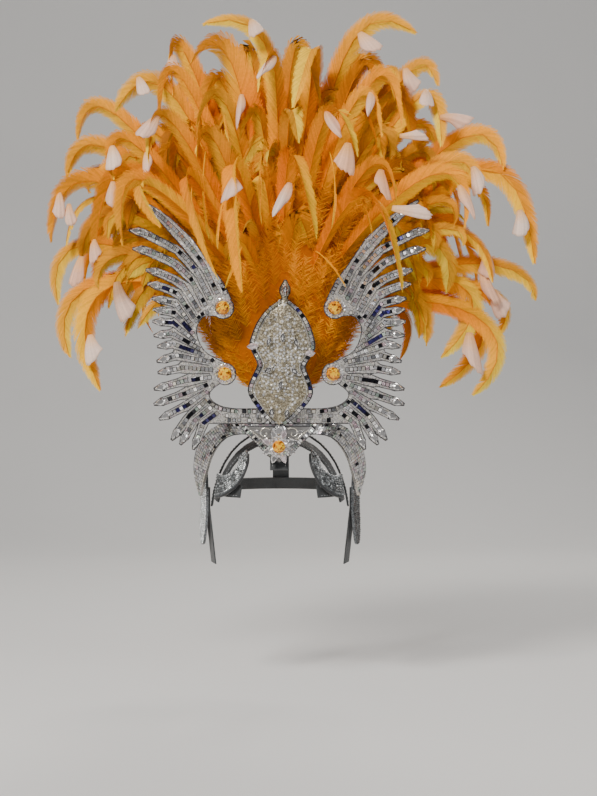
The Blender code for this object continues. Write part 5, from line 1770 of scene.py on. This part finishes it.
def build_bandeau_trim():
    """Rows of tiles across the crescents, and tiles, crystals and scrolls on the brow plate."""
    tiles, crystals, scrolls = Pile(), Pile(), Pile()
    outer, inner = ribbon(CRESCENT_ROWS, CRESCENT_REACH, CRESCENT_DROP, 12)
    for sign in (-1.0, 1.0):
        place = crescent_place(sign)
        middle = [(first + second) / 2 for first, second in zip(outer, inner)]
        lengths = lengths_along([place(point.x, point.y, CRESCENT_THICKNESS) for point in middle])

        def rail(points, target):
            index = min(len(points) - 2, max(i for i in range(len(lengths)) if lengths[i] <= target))
            way = (target - lengths[index]) / max(1e-9, lengths[index + 1] - lengths[index])
            return points[index].lerp(points[index + 1], way)

        steps = round(lengths[-1] / CRESCENT_TILE)
        for step in range(1, steps):
            low, high = lengths[-1] * step / steps, lengths[-1] * (step + 0.92) / steps
            high = min(high, lengths[-1])
            wide = (place(*rail(outer, low), 0.0) - place(*rail(inner, low), 0.0)).length
            across = max(1, round(wide / CRESCENT_TILE))
            for column in range(across):
                near, far = (column + 0.05) / across, (column + 0.95) / across
                corners = []
                for target, share in ((low, near), (low, far), (high, far), (high, near)):
                    spot = rail(outer, target).lerp(rail(inner, target), 0.02 + share * 0.96)
                    corners.append(place(spot.x, spot.y, CRESCENT_THICKNESS))
                colour = silver_tint()
                if column == across - 1 and 0.16 < low / lengths[-1] < 0.5 and rng.random() < 0.45:
                    colour = rng.choice((MIRROR_BLACK, dim(DIM_SILVER, 0.5), GREEN_SILVER))
                elif rng.random() < 0.03:
                    colour = MIRROR_BLACK
                tile(tiles, corners, CRESCENT_TILE_HEIGHT, colour, 0.10)
    place = crescent_place(1.0, CRESCENT_THICKNESS + STRAP_GAP)
    edge = [(BROW_HALF_WIDTH * u / 100, BROW_TOP - BROW_DEPTH * v / 100) for u, v in BROW_ROWS]
    edge = smooth_line(edge, 10)
    for sign in (-1.0, 1.0):
        line = even_line(edge, BROW_TILE_PITCH)
        for index, (point, direction) in enumerate(line[1:-2]):
            inward = turned(direction) if turned(direction).x < 0 else -turned(direction)
            if index < len(line) * 0.72:
                spot = point + inward * BROW_TILE_INSET
                corners = []
                for ahead, out in CORNERS:
                    corner = spot + direction * BROW_TILE_HALF_LENGTH * ahead
                    corner += inward * BROW_TILE_HALF_WIDTH * out
                    corners.append(place(sign * corner.x, corner.y, BROW_THICKNESS))
                colour = rng.choice((MIRROR_BLACK, SILVER, WARM_SILVER, GREEN_SILVER, DIM_SILVER))
                tile(tiles, corners, BROW_TILE_HEIGHT, colour)
            for inset in BROW_CRYSTAL_INSETS:
                spot = point + inward * inset
                ground = place(sign * spot.x, spot.y, BROW_THICKNESS)
                front_crystal(crystals, ground, BROW_CRYSTAL_RADIUS, BROW_CRYSTAL_RADIUS, silver_tint())
    for sign in (-1.0, 1.0):
        for scroll in BROW_SCROLLS:
            line = smooth_line(scaled(scroll, BROW_HALF_WIDTH, BROW_DEPTH), 8)
            spots = [place(sign * point.x, BROW_TOP - point.y, BROW_THICKNESS) for point in line]
            tube(scrolls, spots, SCROLL_RADIUS, dim(WARM_SILVER, 0.9))
        outline = marquise_outline(Vector((sign * 0.0225, 0.0002)), math.radians(sign * 72), 0.0090, 0.0036)
        cut_stone(crystals, outline, place, BROW_THICKNESS, 0.0022, clear_pick)
    scrolls.build("brow_scrolls", TILE_FINISH, "mirror_silver", smooth=True)
    tiles.build("bandeau_tiles", TILE_FINISH, "mirror_silver")
    crystals.build("bandeau_crystals", CRYSTAL_FINISH, "clear_stone")


def signed_power(value, exponent):
    return math.copysign(abs(value) ** exponent, value)


def head_point(direction, layer, depth):
    """A point over the head in a direction, on a layer of straps (0 is the crown strap), raised by depth."""
    grow = layer * (STRAP_THICKNESS + STRAP_GAP)
    radii = (HEAD_HALF_WIDTH, HEAD_HALF_DEPTH, HEAD_RISE)
    direction = Vector(direction).normalized()
    shape = [signed_power(part, 2 / HEAD_SQUARENESS) for part in direction]
    normal = Vector([
        signed_power(part, HEAD_SQUARENESS - 1) / radius
        for part, radius in zip(shape, radii)
    ]).normalized()
    point = Vector([part * radius for part, radius in zip(shape, radii)])
    return point + normal * (grow + depth) - Vector((0.0, 0.0, HEAD_RISE))


def build_stitches():
    """Two rows of light stitches along each strap."""
    stitches = Pile()
    inset = STRAP_WIDTH / 2 - STITCH_INSET
    lines = []
    for side in (-1.0, 1.0):
        half = side * inset / HEAD_HALF_DEPTH
        sweep = [CROWN_STRAP_SWEEP * step / 60 for step in range(-60, 61)]
        lines.append((0, [(math.sin(angle), half, math.cos(angle)) for angle in sweep]))
        ahead = BROW_STRAP_FORWARD + half
        around = math.sqrt(1 - ahead ** 2)
        sweep = [BROW_STRAP_SWEEP * step / 60 for step in range(-60, 61)]
        lines.append((0, [(math.sin(angle) * around, -ahead, math.cos(angle) * around) for angle in sweep]))
        half = side * inset / HEAD_HALF_WIDTH
        whole = CENTRE_STRAP_FRONT + CENTRE_STRAP_BACK
        sweep = [CENTRE_STRAP_FRONT - whole * step / 90 for step in range(91)]
        lines.append((1, [(half, -math.sin(angle), math.cos(angle)) for angle in sweep]))
        height = 1 - HEAD_BAND_LEVEL / HEAD_RISE + side * inset / HEAD_RISE
        around = math.sqrt(1 - height ** 2)
        start = math.acos(BROW_STRAP_FORWARD + STRAP_WIDTH / HEAD_RISE)
        sweep = [(math.pi + 2 * start) * step / 140 - start for step in range(141)]
        lines.append((-1, [(math.cos(angle) * around, math.sin(angle) * around, height) for angle in sweep]))
    for layer, directions in lines:
        spots = [head_point(direction, layer, STRAP_THICKNESS) for direction in directions]
        spaced = even_line(spots, STITCH_PITCH)
        for (start, _), (end, _) in list(zip(spaced, spaced[1:]))[2:-2:2]:
            tube(stitches, [start, end], STITCH_RADIUS, STITCH_GREY, 5)
    stitches.build("strap_stitches", PIPING_FINISH, "strap_grey", smooth=True)


def grey_tint():
    return dim(GREY, rng.choice((0.25, 0.5, 0.8, 1.0, 1.3, 1.9)))


def build_temple_trim():
    """Rows of beads on the temple leaves and the ear flaps, and a dark edge under the leaves."""
    beads, piping = Pile(), Pile()
    lower, upper = ribbon(LEAF_ROWS, LEAF_REACH, LEAF_DROP, 10)
    head_low = Vector((0.0, 0.0, -HEAD_RISE))
    for side, sign in SIDES:
        place = leaf_place(sign)
        for step in range(1, 8):
            line = [first.lerp(second, step / 8) for first, second in zip(lower, upper)]
            spots = [place(point.x, point.y, LEAF_THICKNESS) for point in line]
            for spot, direction in even_line(spots, LEAF_BEAD_PITCH):
                ground = seat(spot, (spot - head_low).normalized(), direction)
                half_bead(beads, ground, rng.uniform(*SMALL_BEAD), grey_tint())
        scallops = [place(point.x, point.y, LEAF_THICKNESS * 0.6) for point in upper]
        for spot, direction in even_line(scallops, SCALLOP_PITCH):
            ground = seat(spot, (spot - head_low).normalized(), direction)
            half_bead(beads, ground, SCALLOP_RADIUS, dim(LIGHT_GREY, rng.uniform(0.7, 1.5)), 9)
        border = [place(point.x, point.y, LEAF_THICKNESS * 0.5) for point in lower]
        tube(piping, border, LEAF_PIPING_RADIUS, LEAF_DARK)

        flap = Face("ear_flap_" + side)
        low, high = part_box("ear_flap_" + side)
        pitch = FLAP_BEAD_PITCH
        for row in range(int((high.z - low.z) / pitch) + 1):
            for column in range(int((high.y - low.y) / pitch) + 1):
                y = low.y + column * pitch + row % 2 * pitch / 2
                hit, normal = flap.side(y, low.z + row * pitch, sign)
                if hit is not None and abs(normal.x) > 0.6:
                    radius = rng.uniform(*SMALL_BEAD)
                    half_bead(beads, seat(hit, normal, UP), radius, dim(grey_tint(), 0.55))
    beads.build("grey_beads", BEAD_FINISH, "bead_grey")
    piping.build("leaf_piping", PIPING_FINISH, "strap_grey", smooth=True)


def finish_frame():
    """Give each CAD node that stays its material."""
    finishes = {
        "wing": BOARD_FINISH,
        "crescent": BOARD_FINISH,
        "medallion": MEDALLION_FINISH,
        "brow_plate": BROW_FINISH,
        "flower_petals": PETAL_FINISH,
        "temple_leaf": GREY_GLITTER_FINISH,
        "ear_flap": GREY_GLITTER_FINISH,
        "brow_strap": STRAP_FINISH,
        "crown_strap": STRAP_FINISH,
        "centre_strap": STRAP_FINISH,
        "head_band": STRAP_FINISH,
        "cheek_tab": STRAP_FINISH,
        "spine": STRAP_FINISH,
    }
    for name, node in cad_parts.items():
        finish = next((value for key, value in finishes.items() if name.startswith(key)), BOARD_FINISH)
        node.data.materials.clear()
        node.data.materials.append(finish)


# Stage

FLOOR_LEVEL = -0.30
STUDIO_MIDDLE = (0.0, 0.0, 0.16)

# columns: name, place, size, power in watts, colour
LIGHTS = (
    ("key", (-1.0, -1.7, 1.6), (0.7, 0.5), 62.0, (1.0, 0.97, 0.93)),
    ("fill", (1.6, -1.5, 0.6), (0.5, 1.2), 10.0, (0.97, 0.98, 1.0)),
    ("rim", (0.6, 1.4, 1.5), (1.0, 0.5), 20.0, (1.0, 0.96, 0.90)),
)


def build_stage():
    """A pale floor that curves up into a wall far behind."""
    finish, tree, shader = new_finish("pale_floor")
    noise = object_noise(tree, 3.0)
    shade = ramped(tree, noise, ((0.0, (0.78, 0.77, 0.75)), (1.0, (0.82, 0.81, 0.79))))
    set_sockets(tree, shader, {"Base Color": shade, "Roughness": 0.8})
    profile = [(-6.0, 0.0), (1.6, 0.0)]
    for step in range(1, 13):
        angle = math.radians(90 * step / 12)
        profile.append((1.6 + 1.2 * math.sin(angle), 1.2 * (1 - math.cos(angle))))
    profile.append((2.8, 6.0))
    vertices = []
    for y, z in profile:
        vertices.extend(((-8.0, y, FLOOR_LEVEL + z), (8.0, y, FLOOR_LEVEL + z)))
    faces = [(2 * i, 2 * i + 1, 2 * i + 3, 2 * i + 2) for i in range(len(profile) - 1)]
    mesh = bpy.data.meshes.new("studio_floor")
    mesh.from_pydata(vertices, [], faces)
    mesh.materials.append(finish)
    mesh.shade_smooth()
    floor = add_object("studio_floor", mesh)


def add_light(name, place, size, power, colour):
    data = bpy.data.lights.new(name, "AREA")
    data.shape = "RECTANGLE"
    data.size, data.size_y = size
    data.energy = power
    data.color = colour
    light = add_object(name, data)
    light.location = place
    light.rotation_mode = "QUATERNION"
    light.rotation_quaternion = (Vector(STUDIO_MIDDLE) - Vector(place)).to_track_quat("-Z", "Y")


def build_studio():
    for light in LIGHTS:
        add_light(*light)
    world = bpy.data.worlds.new("studio")
    world.use_nodes = True
    sky = world.node_tree.nodes["Background"]
    sky.inputs["Color"].default_value = (0.93, 0.95, 1.0, 1.0)
    sky.inputs["Strength"].default_value = 0.26
    bpy.context.scene.world = world


def build_camera():
    """Level with the middle of the photograph, and straight in front."""
    data = bpy.data.cameras.new("photo_camera")
    camera = add_object("photo_camera", data)
    x = (PHOTO_WIDTH / 2 - ORIGIN_PIXEL_X) * PIXEL
    z = (ORIGIN_PIXEL_Z - PHOTO_HEIGHT / 2) * PIXEL
    camera.location = (x, -CAMERA_BACK, z)
    camera.rotation_euler = (math.radians(90), 0.0, 0.0)
    data.sensor_width = 36.0
    data.lens = data.sensor_width * (CAMERA_BACK - FRONT_REACH) / (PHOTO_HEIGHT * PIXEL)
    data.clip_end = 50.0
    bpy.context.scene.camera = camera


build_camera()
build_stage()
build_studio()
finish_frame()
front_quills, rear_quills = build_feathers()
build_fluff()
build_pale_ends(front_quills, rear_quills)
build_wing_trim()
build_outlines()
build_jewels()
build_medallion_trim()
build_bandeau_trim()
build_temple_trim()
build_stitches()
